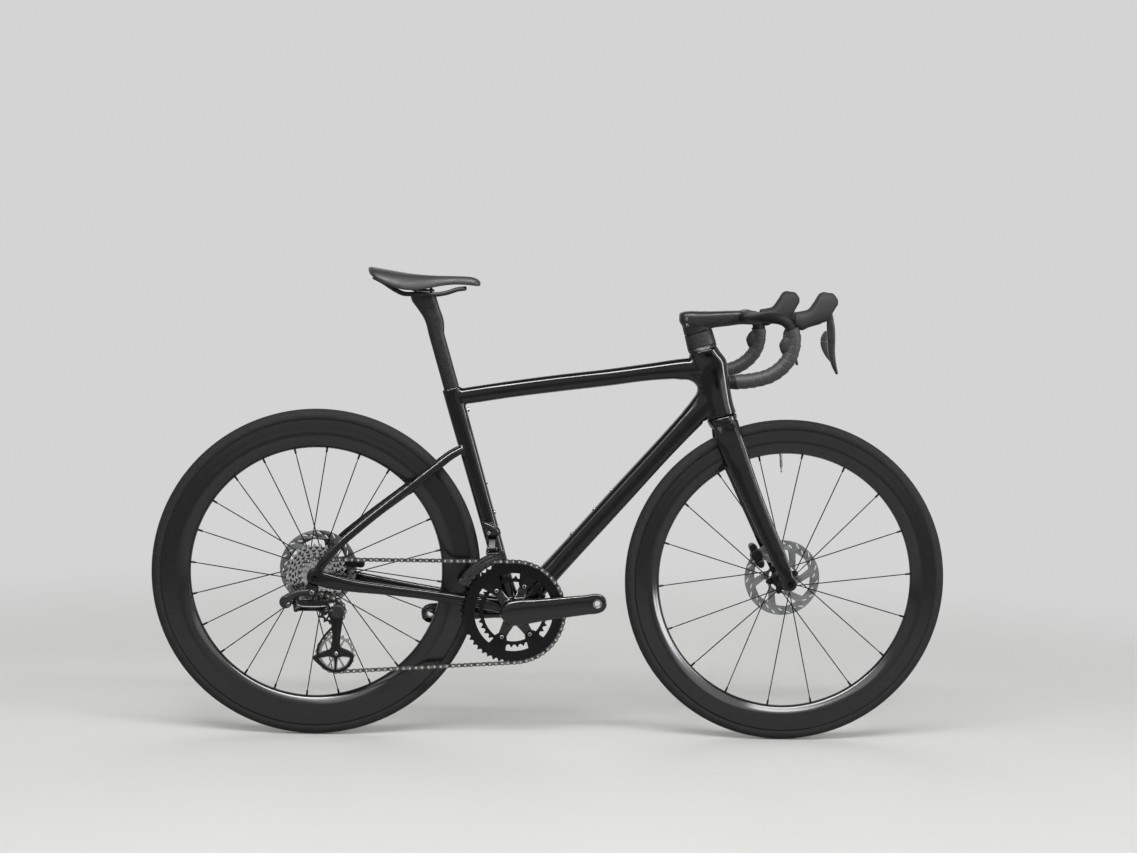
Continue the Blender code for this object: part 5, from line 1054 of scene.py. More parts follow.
FRONT_RIM_INNER, REAR_RIM_INNER = 266.0, 257.5
FRONT_FIRST_SPOKE, REAR_FIRST_SPOKE = radians(83.9), radians(-3.7)
wheel("front", FRONT_AXLE, FRONT_RIM_INNER, FRONT_TYRE_RUBBER, FRONT_RIM_CARBON, "front_wheel")
wheel("rear", REAR_AXLE, REAR_RIM_INNER, REAR_TYRE_RUBBER, REAR_RIM_CARBON, "rear_wheel")
piece("front_hub_shell", front_hub(), ANODISED, "front_wheel")
piece("rear_hub_shell", rear_hub(), ANODISED, "rear_wheel")
piece("front_spokes", spokes(FRONT_AXLE, FRONT_FIRST_SPOKE, -tau / 18, 18,
                             ((18, 20.5, 21.2), (-18, 20.5, 23.4), (0, 18, -30.5)), FRONT_RIM_INNER),
      SPOKE_STEEL, "front_wheel", "front_hub")
piece("rear_spokes", spokes(REAR_AXLE, REAR_FIRST_SPOKE, tau / 24, 24,
                            ((19, 21.5, -14.4), (-19, 21.5, -16.6), (0, 21, 38.5)), REAR_RIM_INNER),
      SPOKE_STEEL, "rear_wheel", "rear_hub")
for name, axle, y, body, steel in (("front", FRONT_AXLE, FRONT_ROTOR_Y, "front_wheel", FRONT_ROTOR_STEEL),
                                   ("rear", REAR_AXLE, REAR_ROTOR_Y, "rear_wheel", REAR_ROTOR_STEEL)):
    piece(name + "_brake_disc", rotor_shape(axle, y), steel, body, name + "_rotor")
    piece(name + "_disc_carrier", rotor_carrier(axle, y), ANODISED, body)
piece("front_thru_axle", thru_axle(FRONT_AXLE, 100.0), ANODISED, "steering", "front_axle")
piece("rear_thru_axle", thru_axle(REAR_AXLE, 142.0), ANODISED, "frame_body", "rear_axle")
piece("front_valve", valve(FRONT_AXLE, FRONT_RIM_INNER, FRONT_FIRST_SPOKE + radians(10)), BOLT_STEEL,
      "front_wheel")
piece("rear_valve", valve(REAR_AXLE, REAR_RIM_INNER, REAR_FIRST_SPOKE - radians(7.5)), BOLT_STEEL,
      "rear_wheel")


# Drivetrain
PITCH = 12.7
COG_TEETH = (11, 12, 13, 14, 15, 16, 17, 19, 21, 24, 27, 30)
CHAIN_COG, COG_SPACING = 5, 3.6
SMALL_RING_Y, RING_BOLT_CIRCLE = -39.5, 57.0


def pitch_radius(teeth):
    """Half the pitch over the sine of half a tooth's angle."""
    return PITCH / (2 * sin(pi / teeth))


def chain_route():
    """Pins along the closed chain, arcs on its four wheels joined by tangent runs, and the angle of a
    pin on each wheel."""
    wheels = [(name, flat(centre), pitch_radius(teeth), sense) for name, centre, teeth, sense in (
        ("cog", REAR_AXLE, COG_TEETH[CHAIN_COG], -1), ("ring", BB, BIG_RING, -1),
        ("tension", TENSION_CENTRE, TENSION_TEETH, -1), ("guide", GUIDE_CENTRE, GUIDE_TEETH, 1))]
    count = len(wheels)
    leave, arrive = [0.0] * count, [0.0] * count
    for i in range(count):
        j = (i + 1) % count
        _, here, r1, s1 = wheels[i]
        _, there, r2, s2 = wheels[j]
        away = there - here
        normal = atan2(away[1], away[0]) - acos((s1 * r1 - s2 * r2) / hypot(*away))
        leave[i] = normal if s1 > 0 else normal + pi
        arrive[j] = normal if s2 > 0 else normal + pi
    pieces = []
    for i in range(count):
        name, here, radius, sense = wheels[i]
        sweep = ((leave[i] - arrive[i]) * sense) % tau
        pieces.append((name, here, radius, sense, arrive[i], sweep * radius))
        j = (i + 1) % count
        start = here + radius * np.array((cos(leave[i]), sin(leave[i])))
        end = wheels[j][1] + wheels[j][2] * np.array((cos(arrive[j]), sin(arrive[j])))
        pieces.append((None, start, end, 0, 0, hypot(*(end - start))))
    total = sum(part[-1] for part in pieces)
    links = 2 * round(total / PITCH / 2)
    step, pins, phases, base = total / links, [], {}, 0.0
    for name, first, second, sense, start, length in pieces:
        index = np.arange(len(pins), links)
        along = index * step - base
        along = along[along < length - 1e-9]
        if name:
            turn = start + sense * along / second
            phases[name] = turn[0]
            pins += list(first + second * np.stack([np.cos(turn), np.sin(turn)], 1))
        else:
            pins += list(first + (second - first) * (along / length)[:, None])
        base += length
    return np.array(pins), phases


PINS, PHASES = chain_route()


def toothed(centre, teeth, phase, y, half, bore):
    """A toothed ring as one closed grid: round it the tooth outline, pitch radius plus an offset for
    the valley, flank and tip, and across it bore, face, tooth edge and back."""
    way = np.array([0.0, 0.1, 0.2, 0.31, 0.42, 0.5, 0.58, 0.69, 0.8, 0.9])
    lift = np.array([-3.9, -3.65, -2.7, -0.8, 1.5, 2.0, 1.5, -0.8, -2.7, -3.65])
    turn = (phase + tau * (np.arange(teeth)[:, None] + way[None, :]) / teeth).ravel()
    outer, bevel = pitch_radius(teeth) + np.tile(lift, teeth), 0.3
    taper = np.where(outer > pitch_radius(teeth) - 2, 0.45, 1.0)
    root = np.minimum(outer, pitch_radius(teeth) - 3.95) - 0.2
    rows = [np.stack([centre[0] + radius * np.cos(turn), y + across + 0 * turn,
                      centre[2] + radius * np.sin(turn)], 1)
            for radius, across in ((bore + bevel, half), (root, half), (outer, half * taper),
                                   (outer, -half * taper), (root, -half), (bore + bevel, -half),
                                   (bore, bevel - half), (bore, half - bevel))]
    return skin(np.stack(rows), loop=True)


def cassette():
    """Twelve toothed rings, and their thinner webs with arms between them on a stepped carrier."""
    parts, webs, arms = [], [], []
    for i, teeth in enumerate(COG_TEETH):
        y = CHAIN_Y + (i - CHAIN_COG) * COG_SPACING
        phase = PHASES["cog"] + (0 if i == CHAIN_COG else i * 0.37)
        small = 8.4 if i < 3 else pitch_radius(COG_TEETH[i - 1]) - 8.2
        foot = pitch_radius(teeth) - 5.6
        parts.append(toothed(REAR_AXLE, teeth, phase, y, 0.8, foot))
        low, high = min(small, foot - 4), foot + 0.2
        web = soften([(low, y - 0.6), (high, y - 0.6), (high, y + 0.6), (low, y + 0.6)], 0.2, 2)
        webs.append(spin(web, REAR_AXLE, steps=72))
    for k in range(6):
        radial, across = ways(tau * k / 6)
        centres = np.array([REAR_AXLE + radial * r + LEFT * y
                            for r, y in ((15, -49), (22, -42), (34, -34), (44, -26.5))])
        square = unit(np.cross(across, centres[-1] - centres[0]))
        arms.append(skin(rings(centres, across, square, [4, 4, 4.5, 5], 2.0, 3, 16)))
    sleeve = soften([(7.2, -67.6), (13.5, -67.6), (14.5, -60), (17.5, -50), (19, -42), (20, -21.5),
                     (7.2, -21.5)], 1.0)
    lock = soften([(8, -67.9), (8, -65.4), (15.8, -65.4), (15.8, -66.8), (12.5, -67.9)], 0.4)
    return joined(*parts), joined(*webs, *arms, spin(sleeve, REAR_AXLE, steps=48),
                                  spin(lock, REAR_AXLE, steps=36))


cog_teeth, cog_webs = cassette()
piece("sprocket_set", cog_teeth, COG_STEEL, "sprockets", "cassette")
# the carrier's dark colour is oil plus painted shade between the cogs
piece("sprocket_carrier", cog_webs, COG_WEBS_OIL_AND_SHADE, "sprockets")


def chain():
    """Links: waisted plates on their pins, half height 4.2 at the pins and 3 between, laid from each
    pin to the next; outer plates over every second link, inner ones with rollers, and the rivets."""
    turn = np.linspace(pi / 2, 3 * pi / 2, 7)
    left_end = np.stack([4.2 * np.cos(turn), 4.2 * np.sin(turn)], 1)
    right_end = left_end * (-1, -1) + (PITCH, 0)
    outline = np.concatenate([left_end, [(PITCH * 0.5, -3.0)], right_end, [(PITCH * 0.5, 3.0)]])
    here = np.insert(PINS, 1, CHAIN_Y, 1)
    ahead = np.roll(here, -1, 0)
    along = unit(ahead - here)
    up = np.cross(along, LEFT)
    middle = np.array((PITCH / 2, 0))
    halves = []
    for offset, near, far in ((0, 1.75, 2.6), (1, 1.15, 1.72)):
        parts = []
        a, u, p = along[offset::2, None, None], up[offset::2, None, None], here[offset::2, None, None]
        for side in (-1, 1):
            depth = np.array([near + 0.1, near, far, far])[:, None, None] * side
            spot = middle + (outline - middle)[None] * np.array([0.97, 1.0, 1.0, 0.93])[:, None, None]
            grids = p + a * spot[None, :, :, :1] + u * spot[None, :, :, 1:] + LEFT * depth[None]
            parts += [skin(grid) for grid in grids]
        halves.append(joined(*parts))
    turn = tau * np.arange(10)[None, :, None] / 10
    spot = along[:, None] * np.cos(turn) + up[:, None] * np.sin(turn)
    drums = []
    for radius, reach in (((1.3, 1.9, 1.9, 1.9, 1.9, 1.3), (-3.15, -3.0, -2.7, 2.7, 3.0, 3.15)),
                          ((3.9, 3.9, 3.9, 3.9), (-1.15, -1.0, 1.0, 1.15))):
        radius, reach = (np.array(values)[None, :, None, None] for values in (radius, reach))
        grids = here[:, None, None] + spot[:, None] * radius + LEFT * reach
        drums.append(joined(*[skin(grid) for grid in grids]))
    return halves[0], joined(halves[1], drums[1]), drums[0]


outer_links, inner_links, rivets = chain()
piece("roller_chain", outer_links, CHAIN_STEEL, "frame_body", "chain", crease=30)
piece("roller_chain_inner_links", inner_links, INNER_LINK_STEEL, "frame_body", crease=30)
# the rivets' near-white colour is partly a painted highlight on each pin
piece("roller_chain_rivets", rivets, RIVET_STEEL_PAINTED_HIGHLIGHT, "frame_body", crease=30)

SPIDER = [radians(a) for a in (69, 130, -114, -53)]


def ring_tabs(y, inner, thick):
    """Tabs from a ring's bore to the bolt circle at the ends of the spider's arms."""
    parts = []
    for angle in SPIDER:
        radial, across = ways(angle)
        low, high = 51.0, inner + 3
        outline = soften([(-8.5, low), (8.5, low), (inner * 0.26, high), (-inner * 0.26, high)], 6, 5)
        parts.append(plate([outline], thick, BB + LEFT * y, across, radial, 0.3))
    return joined(*parts)


for name, node, teeth, phase, y, bore in (
        ("big_ring", "chainring_outer", BIG_RING, PHASES["ring"], CHAIN_Y, 81.0),
        ("small_ring", "chainring_inner", SMALL_RING, 0.05, SMALL_RING_Y, 62.0)):
    piece(name, joined(toothed(BB, teeth, phase, y, 0.9, bore), ring_tabs(y, bore, 1.5)), RING_BLACK,
          "cranks", node)


def crank_arm(side):
    """A forged arm: superellipse rings down its length, with its boss or its four-armed spider."""
    angle = radians(8.0) + (0.0 if side < 0 else pi)
    radial, up = ways(angle)
    rows = ((-26.5, 7, 8.6, -54), (-24, 12.4, 9.4, -54.4), (-19, 19.2, 10.2, -54.8), (-10, 25.1, 10.8, -55.4),
            (4, 27, 11, -56), (45, 24.5, 10, -58.5), (100, 22, 8, -62.5), (150, 20.5, 6.8, -66.02),
            (177, 19.5, 6.4, -66.4), (184, 16.6, 6.3, -66.4), (189, 11, 6.1, -66.4))
    stations = [(*(BB + radial * d + LEFT * -y * side), half, thick) for d, half, thick, y in rows]
    arm = skin(blunt(stack(stations, up, LEFT, 3.0, 48, 90), 3.0, 2.5))
    parts = [arm]
    spider_rows = ((14, 14, -55.5, -44.2), (30, 11.5, -51.5, -43.3), (48, 9.6, -45.2, -40.7),
                   (66, 8.6, -45.2, -40.7))
    if side < 0:
        parts += [rod(BB - LEFT * 43.2, BB - LEFT * 56.3, 25.4, sides=56, edge=1.5)]
        for angle in SPIDER:
            out, across = ways(angle)
            stations = [(*(BB + out * d + LEFT * (near + far) / 2), half, abs(far - near) / 2)
                        for d, half, near, far in spider_rows]
            parts.append(skin(blunt(stack(stations, across, LEFT, 4.0, 28, 30), 0, 1.5)))
    else:
        parts.append(rod(BB + LEFT * 43.2, BB + LEFT * 57, 20.5, sides=56, edge=1.5))
    shell = fused(joined(*parts), 1.5, 8)
    eye = BB + radial * CRANK_LENGTH
    cutters = [rod(eye + LEFT * 40 * side, eye + LEFT * 95 * side, 7.2, sides=40)]
    if side > 0:
        cutters.append(rod(BB + LEFT * 40, BB + LEFT * 50.5, 12.3, sides=40))
    return carve(shell, *cutters), eye


for label, side in SIDES:
    arm, eye = crank_arm(side)
    piece("crank_arm_" + label, arm, CRANK_BLACK, "cranks", "crank_" + label, crease=40)
    insert = soften([(6.0, 59.9), (9.3, 59.9), (9.3, 73.2), (8.2, 73.2), (7.2, 72.2), (6.0, 72.2)], 0.4)
    piece("pedal_eye_insert_" + label, spin(insert * (1, side), eye, steps=40), BOLT_STEEL, "cranks")
piece("crank_spindle", rod(BB - LEFT * 57, BB + LEFT * 50, 12.0, sides=48), BOLT_STEEL, "cranks")
piece("ring_bolts", joined(*[bolt(BB + ways(a)[0] * RING_BOLT_CIRCLE + LEFT * (CHAIN_Y - 1.0), -LEFT, 4.2,
                                  1.8)
                             for a in SPIDER]), BOLT_STEEL, "cranks")
for label, side in SIDES:
    cup = soften([(20.5, 42.0), (20.5, 34.4), (17.3, 34.4), (17.3, 24), (12.8, 24), (12.8, 42.0)], 0.8)
    piece("bearing_cup_" + label, spin(cup, BB, LEFT * side, 64), ANODISED, "frame_body",
          "bottom_bracket_cup_" + label)

# Rear derailleur
HANGER_BOLT = np.array((-494.0, -79.1, 309.0))
BODY_PIVOT = np.array((-523.0, -88.0, 284.0))
LINK = np.array((55.0, 19.0, -2.0))
LINK_AXIS = unit(np.cross(LINK, (-0.25, 0.70, -0.67)))
LINK_OFFSET = unit(np.cross(LINK_AXIS, LINK)) * 12.5
REACH = 8.5


def drum(centre, low, high, radius):
    """A round eye along the links' axis."""
    return rod(centre + LINK_AXIS * low, centre + LINK_AXIS * high, radius, sides=32, edge=0.8)


def link_lugs(base, low, high, middle, radius):
    """Two eyes for the links, and the bar that joins them at a middle height on their axis."""
    bar = base + LINK_AXIS * middle
    return [drum(base, low, high, 6.0), drum(base + LINK_OFFSET, low, high, 6.0),
            rod(bar - LINK_OFFSET * 0.3, bar + LINK_OFFSET * 1.3, radius, sides=24, edge=1.0)]


def mech_bracket():
    """The fixed half of the rear derailleur: hanger bolt, arm, round motor housing and two lugs."""
    arm = skin(blunt(tube([(-488, -85, 309.5, 5.5, 4.5), (-508, -85.5, 309, 5.5, 5), (-527, -85, 304, 7.5, 6),
                           (-543, -84, 295, 9, 8)], 2.8, 32, 30), 2, 2))
    lobe = rod((-546, -76, 288), (-546, -92, 288), 13, sides=48, edge=2.5)
    lugs = link_lugs(BODY_PIVOT, REACH, REACH + 7, REACH + 3.5, 3.3)
    return joined(fused(joined(arm, lobe, *lugs), 0.9, 8),
                  rod(HANGER_BOLT - LEFT * 0.3, HANGER_BOLT - LEFT * 12, 7.6, sides=40, edge=1.2))


def mech_link(base, thick):
    """A link: two eyes joined by a web that is flat across them."""
    axes = (unit(LINK), unit(LINK_OFFSET), LINK_AXIS)
    web = slab(base + LINK / 2, (np.linalg.norm(LINK), thick, 15.2), axes, 1.2)
    return joined(drum(base, -8, 8, 5.0), drum(base + LINK, -8, 8, 5.0), web)


def link_cover():
    """The outer link's moulded shell: rings along the link, superellipses that bow out past the lugs,
    broad in the middle and drawn in to both eyes."""
    length = np.linalg.norm(LINK)
    along, out = unit(LINK), -unit(LINK_OFFSET)
    u = np.array([-0.035, 0.0, 0.12, 0.3, 0.5, 0.7, 0.88, 1.0, 1.035])
    tall = np.array([5.0, 6.6, 8.6, 9.8, 10.2, 9.8, 8.6, 6.6, 5.0])
    deep = np.array([0.9, 1.3, 1.9, 2.4, 2.6, 2.4, 1.9, 1.3, 0.9])
    low = np.array([7.5, 7.5, 6.6, 5.4, 5.0, 5.4, 6.6, 7.5, 7.5])
    centres = BODY_PIVOT - LINK_AXIS * 4.6 + along * (u * length)[:, None] + out * (low + deep)[:, None]
    path = through(np.c_[centres, tall, deep], 44)
    shell = skin(blunt(rings(path[:, :3], LINK_AXIS, out, path[:, 3], path[:, 4], 3.2, 48), 0.7, 0.7, 3))
    middle = BODY_PIVOT + LINK / 2
    core = slab(middle + out * 4.0, (length * 0.6, 5.0, 12.0), (along, out, LINK_AXIS), 1.0)
    return joined(shell, core)


def mech_knuckle():
    """The moving half: a round pivot housing with two lugs, joined by an arm."""
    housing = rod(CAGE_PIVOT - LEFT * 7.6, CAGE_PIVOT - LEFT * 24.0, 14.5, sides=56, edge=2.5)
    base = BODY_PIVOT + LINK
    lugs = link_lugs(base, -REACH - 8, -REACH, -REACH - 4.2, 3.4)
    foot = base - LINK_AXIS * (REACH + 4.2) + LINK_OFFSET * 0.35
    arm = rod(foot, CAGE_PIVOT - LEFT * 16 - UP, 4.0, sides=24, edge=1.0)
    return fused(joined(housing, *lugs, arm), 0.9, 8)


def mech_cage():
    """Two plates round the toothed wheels: a smooth outline with two windows, and the wheels' bolts."""
    px, pz = flat(CAGE_PIVOT)
    gx, gz = flat(GUIDE_CENTRE)
    tx, tz = flat(TENSION_CENTRE)
    outline = soften([(gx - 6, gz + 7), (px + 4, pz + 12), (px + 13, pz + 4), (px + 12, pz - 12),
                      (px + 7, tz + 36), (px + 6, tz + 12), (tx + 22, tz + 7), (tx + 38, tz - 2),
                      (tx + 33, tz - 22), (tx + 15, tz - 38), (tx - 8, tz - 40), (tx - 30, tz - 28),
                      (tx - 51, tz - 9), (tx - 28, tz + 3), (tx - 12, tz + 7), (tx - 8, tz + 36),
                      (px - 14, pz - 18), (gx - 9, gz - 5)], 9, 5)
    left = soften([(tx - 35, tz - 11), (tx - 16, tz - 6.5), (tx - 5, tz - 9), (tx - 3.5, tz - 33),
                   (tx - 16, tz - 28)], 3, 4)
    right = soften([(tx + 3.5, tz - 9), (tx + 14, tz - 6.5), (tx + 29, tz - 8), (tx + 20, tz - 25),
                    (tx + 2, tz - 33)], 3, 4)
    parts = [side_plate([outline, left, right], y, 1.6, 0.4) for y in (CHAIN_Y - 5.3, CHAIN_Y + 5.3)]
    parts += [rod(centre - LEFT * 6.2, centre + LEFT * 6.7, 3.6, sides=24, edge=0.4)
              for centre in (GUIDE_CENTRE, TENSION_CENTRE)]
    # a pressed rib down the arm and a thin curved strut behind it
    face = CHAIN_Y - 6.0
    rib = [(px + 1, face, pz - 22, 3.2, 1.3), (px - 1, face, pz - 45, 2.8, 1.3),
           (tx + 1, face, tz + 22, 2.8, 1.3), (tx + 1, face, tz + 9, 3.4, 1.3)]
    strut = [(tx - 9, face + 0.7, tz + 54, 2.2, 0.8), (tx - 22, face + 0.7, tz + 40, 1.9, 0.8),
             (tx - 34, face + 0.7, tz + 20, 1.9, 0.8), (tx - 38, face + 0.7, tz + 2, 1.9, 0.8),
             (tx - 35, face + 0.7, tz - 8, 2.2, 0.8)]
    parts += [skin(blunt(tube(rows, 2.4, 16, 40), 0.8, 0.8)) for rows in (rib, strut)]
    trims = []
    for window in (left, right):
        corners = np.c_[window[:, 0], np.full(len(window), face - 0.1), window[:, 1]]
        loop = through(np.r_[corners, corners[:1]], 72)[:-1]
        a = tau * np.arange(8)[:, None, None] / 8
        along = unit(np.roll(loop, -1, 0) - np.roll(loop, 1, 0))
        trims.append(skin(loop + 0.8 * (np.cross(along, LEFT) * np.cos(a) + LEFT * np.sin(a)), loop=True))
    return joined(*parts), joined(*trims, *[bolt(centre - LEFT * 6.0, -LEFT, 3.7, 1.2)
                                            for centre in (GUIDE_CENTRE, TENSION_CENTRE)])


def jockey_wheel(centre, teeth, phase):
    """A toothed wheel: ring and six spokes, and a hub that is thicker at its bore."""
    parts = [toothed(centre, teeth, phase, centre[1], 0.9, pitch_radius(teeth) - 8.0)]
    hub = soften([(4.4, -3.6), (7.4, -3.6), (9, -2.2), (9, 2.2), (7.4, 3.6), (4.4, 3.6)], 0.6)
    web = slab(centre + FORWARD * (pitch_radius(teeth) - 1) / 2, (pitch_radius(teeth) - 5, 1.5, 4.0),
               edge=0.5, sides=3)
    parts.append(turned_copies(web, centre, tau * np.arange(6) / 6))
    return spin(hub, centre, steps=40), joined(*parts)


piece("mech_bracket", mech_bracket(), PLASTIC, "frame_body", "rear_derailleur_bracket", crease=40)
for name, base, thick in (("outer", BODY_PIVOT, 6.0), ("inner", BODY_PIVOT + LINK_OFFSET, 4.5)):
    piece("mech_link_" + name, mech_link(base, thick), PLASTIC, "rd_%s_link" % name,
          "rear_derailleur_%s_link" % name)
piece("mech_knuckle", mech_knuckle(), PLASTIC, "rd_knuckle", "rear_derailleur_knuckle", crease=40)
piece("mech_link_cover", link_cover(), GLOSS_PLASTIC, "rd_outer_link")
piece("mech_link_pin", bolt(BODY_PIVOT - LINK_AXIS * 8, -LINK_AXIS, 3.4, 1.0), BOLT_STEEL, "rd_outer_link")
piece("mech_knuckle_pin", bolt(BODY_PIVOT + LINK - LINK_AXIS * (REACH + 8), -LINK_AXIS, 3.4, 1.0), BOLT_STEEL,
      "rd_knuckle")
piece("mech_bracket_screws", joined(bolt((-541.0, -92, 283.5), -LEFT, 3.8, 1.2),
                                    bolt(HANGER_BOLT - LEFT * 12, -LEFT, 4.6, 1.0)), BOLT_STEEL, "frame_body")
cage, cage_trim = mech_cage()
piece("mech_cage", cage, ANODISED, "rd_cage", "rear_derailleur_cage")
piece("mech_cage_trim", cage_trim, ALLOY, "rd_cage")
for name, centre, teeth, phase, material, body in (
        ("upper", GUIDE_CENTRE, GUIDE_TEETH, PHASES["guide"], PLASTIC, "guide"),
        ("lower", TENSION_CENTRE, TENSION_TEETH, PHASES["tension"], ALLOY, "tension")):
    hub, rim = jockey_wheel(centre, teeth, phase)
    piece("jockey_hub_" + name, hub, PLASTIC, body + "_wheel", body + "_pulley")
    piece("jockey_ring_" + name, rim, material, body + "_wheel", slot="black_plastic")

# Front derailleur
FD_PIVOT = np.array((-130.0, -32.0, 416.0))
FD_LINK = np.array((0.0, -12.0, -17.0))
FD_OFFSET = np.array((0.0, 9.0, -4.0))
RING_RADIUS = pitch_radius(BIG_RING)


def lug_pair(pivot, low, high):
    """Two upright lugs, at the front and rear ends of a link's pivot."""
    return [slab((pivot[0] + side * 9.4, pivot[1], (low + high) / 2), (4, 6, high - low), edge=1.2)
            for side in (-1, 1)]


def front_mech_body():
    """A rounded motor housing on its mount beside the seat tube, with lugs for the two links."""
    axes = (SEAT_FORWARD, LEFT, SEAT_UP)
    rows = [(-148, -31, 443, 8.5, 7.5), (-145, -32, 441.5, 12.5, 9.4), (-137, -33, 438.5, 15, 10.4),
            (-127, -33, 436, 13.6, 10.2), (-118, -32, 434.5, 9.6, 8.6), (-114.5, -31, 434, 6.5, 6.5)]
    parts = [skin(blunt(stack(rows, SEAT_UP, LEFT, 2.8, 40, 40), 1.6, 1.6)),
             slab(seat_point(176, 2, -20.0), (15, 7.4, 26), axes, 1.0)]
    for pivot in (FD_PIVOT, FD_PIVOT + FD_OFFSET):
        parts += lug_pair(pivot, pivot[2] - 3.4, 433.0)
    return joined(*parts)


def front_mech_cage():
    """Inner and outer plates that follow the big ring, bridged at both ends, on two pairs of lugs."""
    a = np.radians(np.linspace(101, 152, 24))
    arc = np.stack([np.cos(a), np.sin(a)], 1)
    sector = soften(np.concatenate([flat(BB) + arc * (RING_RADIUS + 25),
                                    (flat(BB) + arc * (RING_RADIUS + 1))[::-1]]), 3, 3)
    inner, outer = CHAIN_Y + 6.4, CHAIN_Y - 6.4
    a = np.radians(np.linspace(101, 152, 40))[:, None]
    u = np.linspace(0, 1, 17)
    # two pressed ribs, 1.3 mm high, run round the plate and fade at its ends
    fade = np.clip(np.minimum(a - a[0], a[-1] - a) / radians(7), 0, 1)
    rib = 1.3 * fade * (np.exp(-((u - 0.3) / 0.13) ** 2) + np.exp(-((u - 0.72) / 0.13) ** 2))
    narrow = 1 - 0.35 * np.clip((a - radians(128)) / radians(24), 0, 1) ** 2
    radius = RING_RADIUS + 8 + 17 * (u * narrow + (1 - narrow) * 0.6)
    sheet = [np.stack([BB[0] + radius * np.cos(a), outer + shift - rib, BB[2] + radius * np.sin(a)], -1)
             for shift in (-0.8, 0.6)]
    parts = [skin(np.concatenate([sheet[0], sheet[1][:, ::-1]], 1)), side_plate([sector], inner, 1.6, 0.4)]
    for angle in (radians(102.5), radians(150.5)):
        along = ways(angle)[0]
        parts.append(slab(BB + along * (RING_RADIUS + 23) + LEFT * CHAIN_Y, (7.0, 15.4, 9.0),
                          (along, LEFT, np.cross(along, LEFT)), 1.5))
    low = BB[2] + RING_RADIUS + 15
    for pivot in (FD_PIVOT + FD_LINK, FD_PIVOT + FD_LINK + FD_OFFSET):
        parts += lug_pair(pivot, low, pivot[2] + 3)
    parts.append(slab((FD_PIVOT[0], (pivot[1] + outer) / 2, low + 1), (25, abs(pivot[1] - outer) + 7, 4),
                      edge=1.2))
    return joined(*parts)


def front_mech_link(base):
    """A short flat link with rounded ends, as rings from side to side."""
    along = unit(FD_LINK)
    rows = rings([base + FD_LINK / 2 + FORWARD * x for x in (-6.4, 0, 6.4)], along, np.cross(FORWARD, along),
                 np.linalg.norm(FD_LINK) / 2 + 2.6, 2.4, 2.6, 28)
    return skin(blunt(rows, 0.6, 0.6, 2))


piece("front_mech_screws", joined(bolt((-137.0, -43.2, 430.0), -LEFT, 3.8, 1.2),
                                  bolt((-126.0, -43.0, 442.0), -LEFT, 2.4, 1.0)), BOLT_STEEL, "frame_body")
piece("front_mech_cage_screws",
      joined(*[bolt((FD_PIVOT[0] + x, -46.9, 399.4), -LEFT, 2.0, 0.8) for x in (-9.4, 9.4)]), BOLT_STEEL,
      "fd_cage")
piece("front_mech_body", front_mech_body(), GLOSS_PLASTIC, "frame_body", "front_derailleur_body")
# the cage's dark colour is a painted reflection of dark surroundings on shiny steel
piece("front_mech_cage", front_mech_cage(), CAGE_STEEL_PAINTED_DARK_REFLECTION, "fd_cage", "front_derailleur_cage")
for name, base in (("outer", FD_PIVOT), ("inner", FD_PIVOT + FD_OFFSET)):
    piece("front_mech_link_" + name, front_mech_link(base), PLASTIC, "fd_%s_link" % name,
          "front_derailleur_%s_link" % name)


# Brakes
def caliper(axle, centre, along, outward, low_y, high_y, rotor_y, pad_centre):
    """A forged body over the disc: a waist between two screw bosses and a round piston housing, cut
    by the disc's own circle and hollowed for its pads."""
    axes = (along, LEFT, outward)
    middle = np.array((centre[0], (low_y + high_y) / 2, centre[1]))
    half = LEFT * (high_y - low_y) / 2
    waist = slab(middle, (46, high_y - low_y - 5, 17), axes, 4.0)
    bosses = [rod(middle + along * x - half, middle + along * x + half, radius, sides=40, edge=1.6)
              for x, radius in ((-20.5, 7.5), (20.5, 7.5), (0, 12.5))]
    body = fused(joined(waist, *bosses), 0.9, 6)
    slot = rod(axle + LEFT * (rotor_y - 1.7), axle + LEFT * (rotor_y + 1.7), 82.5, sides=120, edge=0.1)
    pocket = slab((pad_centre[0], rotor_y, pad_centre[1]), (27, 9.4, 19), axes, 0.5)
    return carve(body, slot, pocket)


def brake(name, axle, centre, along, low_y, high_y, rotor_y, pad_centre, carrier):
    """Caliper, its two screws and its pads."""
    along = unit(along)
    outward = np.cross(along, LEFT)
    piece(name + "_caliper_body", caliper(axle, centre, along, outward, low_y, high_y, rotor_y, pad_centre),
          ANODISED, carrier, name + "_caliper", slot="black_plastic", crease=35)
    middle = np.array((centre[0], high_y, centre[1]))
    piece(name + "_caliper_screws", joined(*[bolt(middle + along * x, LEFT, 3.6, 1.8) for x in (-20, 20)]),
          BOLT_STEEL, carrier)
    for where, side in (("outer", 1), ("inner", -1)):
        place = (pad_centre[0], rotor_y + side * 3.1, pad_centre[1])
        piece("%s_pad_%s" % (name, where), slab(place, (25, 3.0, 17), (along, LEFT, outward), 0.7), BRAKE_PAD,
              "%s_pad_%s" % (name, where), "%s_brake_pad_%s" % (name, where))


brake("front", FRONT_AXLE, (433.0, 384.2), (-0.438, 0, 0.899), 24.5, 49.5, FRONT_ROTOR_Y, (438.0, 375.5),
      "steering")
brake("rear", REAR_AXLE, (-420.0, 352.0), (0.99, 0, -0.139), 42.0, 67.0, REAR_ROTOR_Y, (-427.0, 353.5),
      "frame_body")


# Floor, light and camera
SKY = 0.66
REFLECTED_SKY = 0.5  # how much of the sky's brightness a shiny surface mirrors


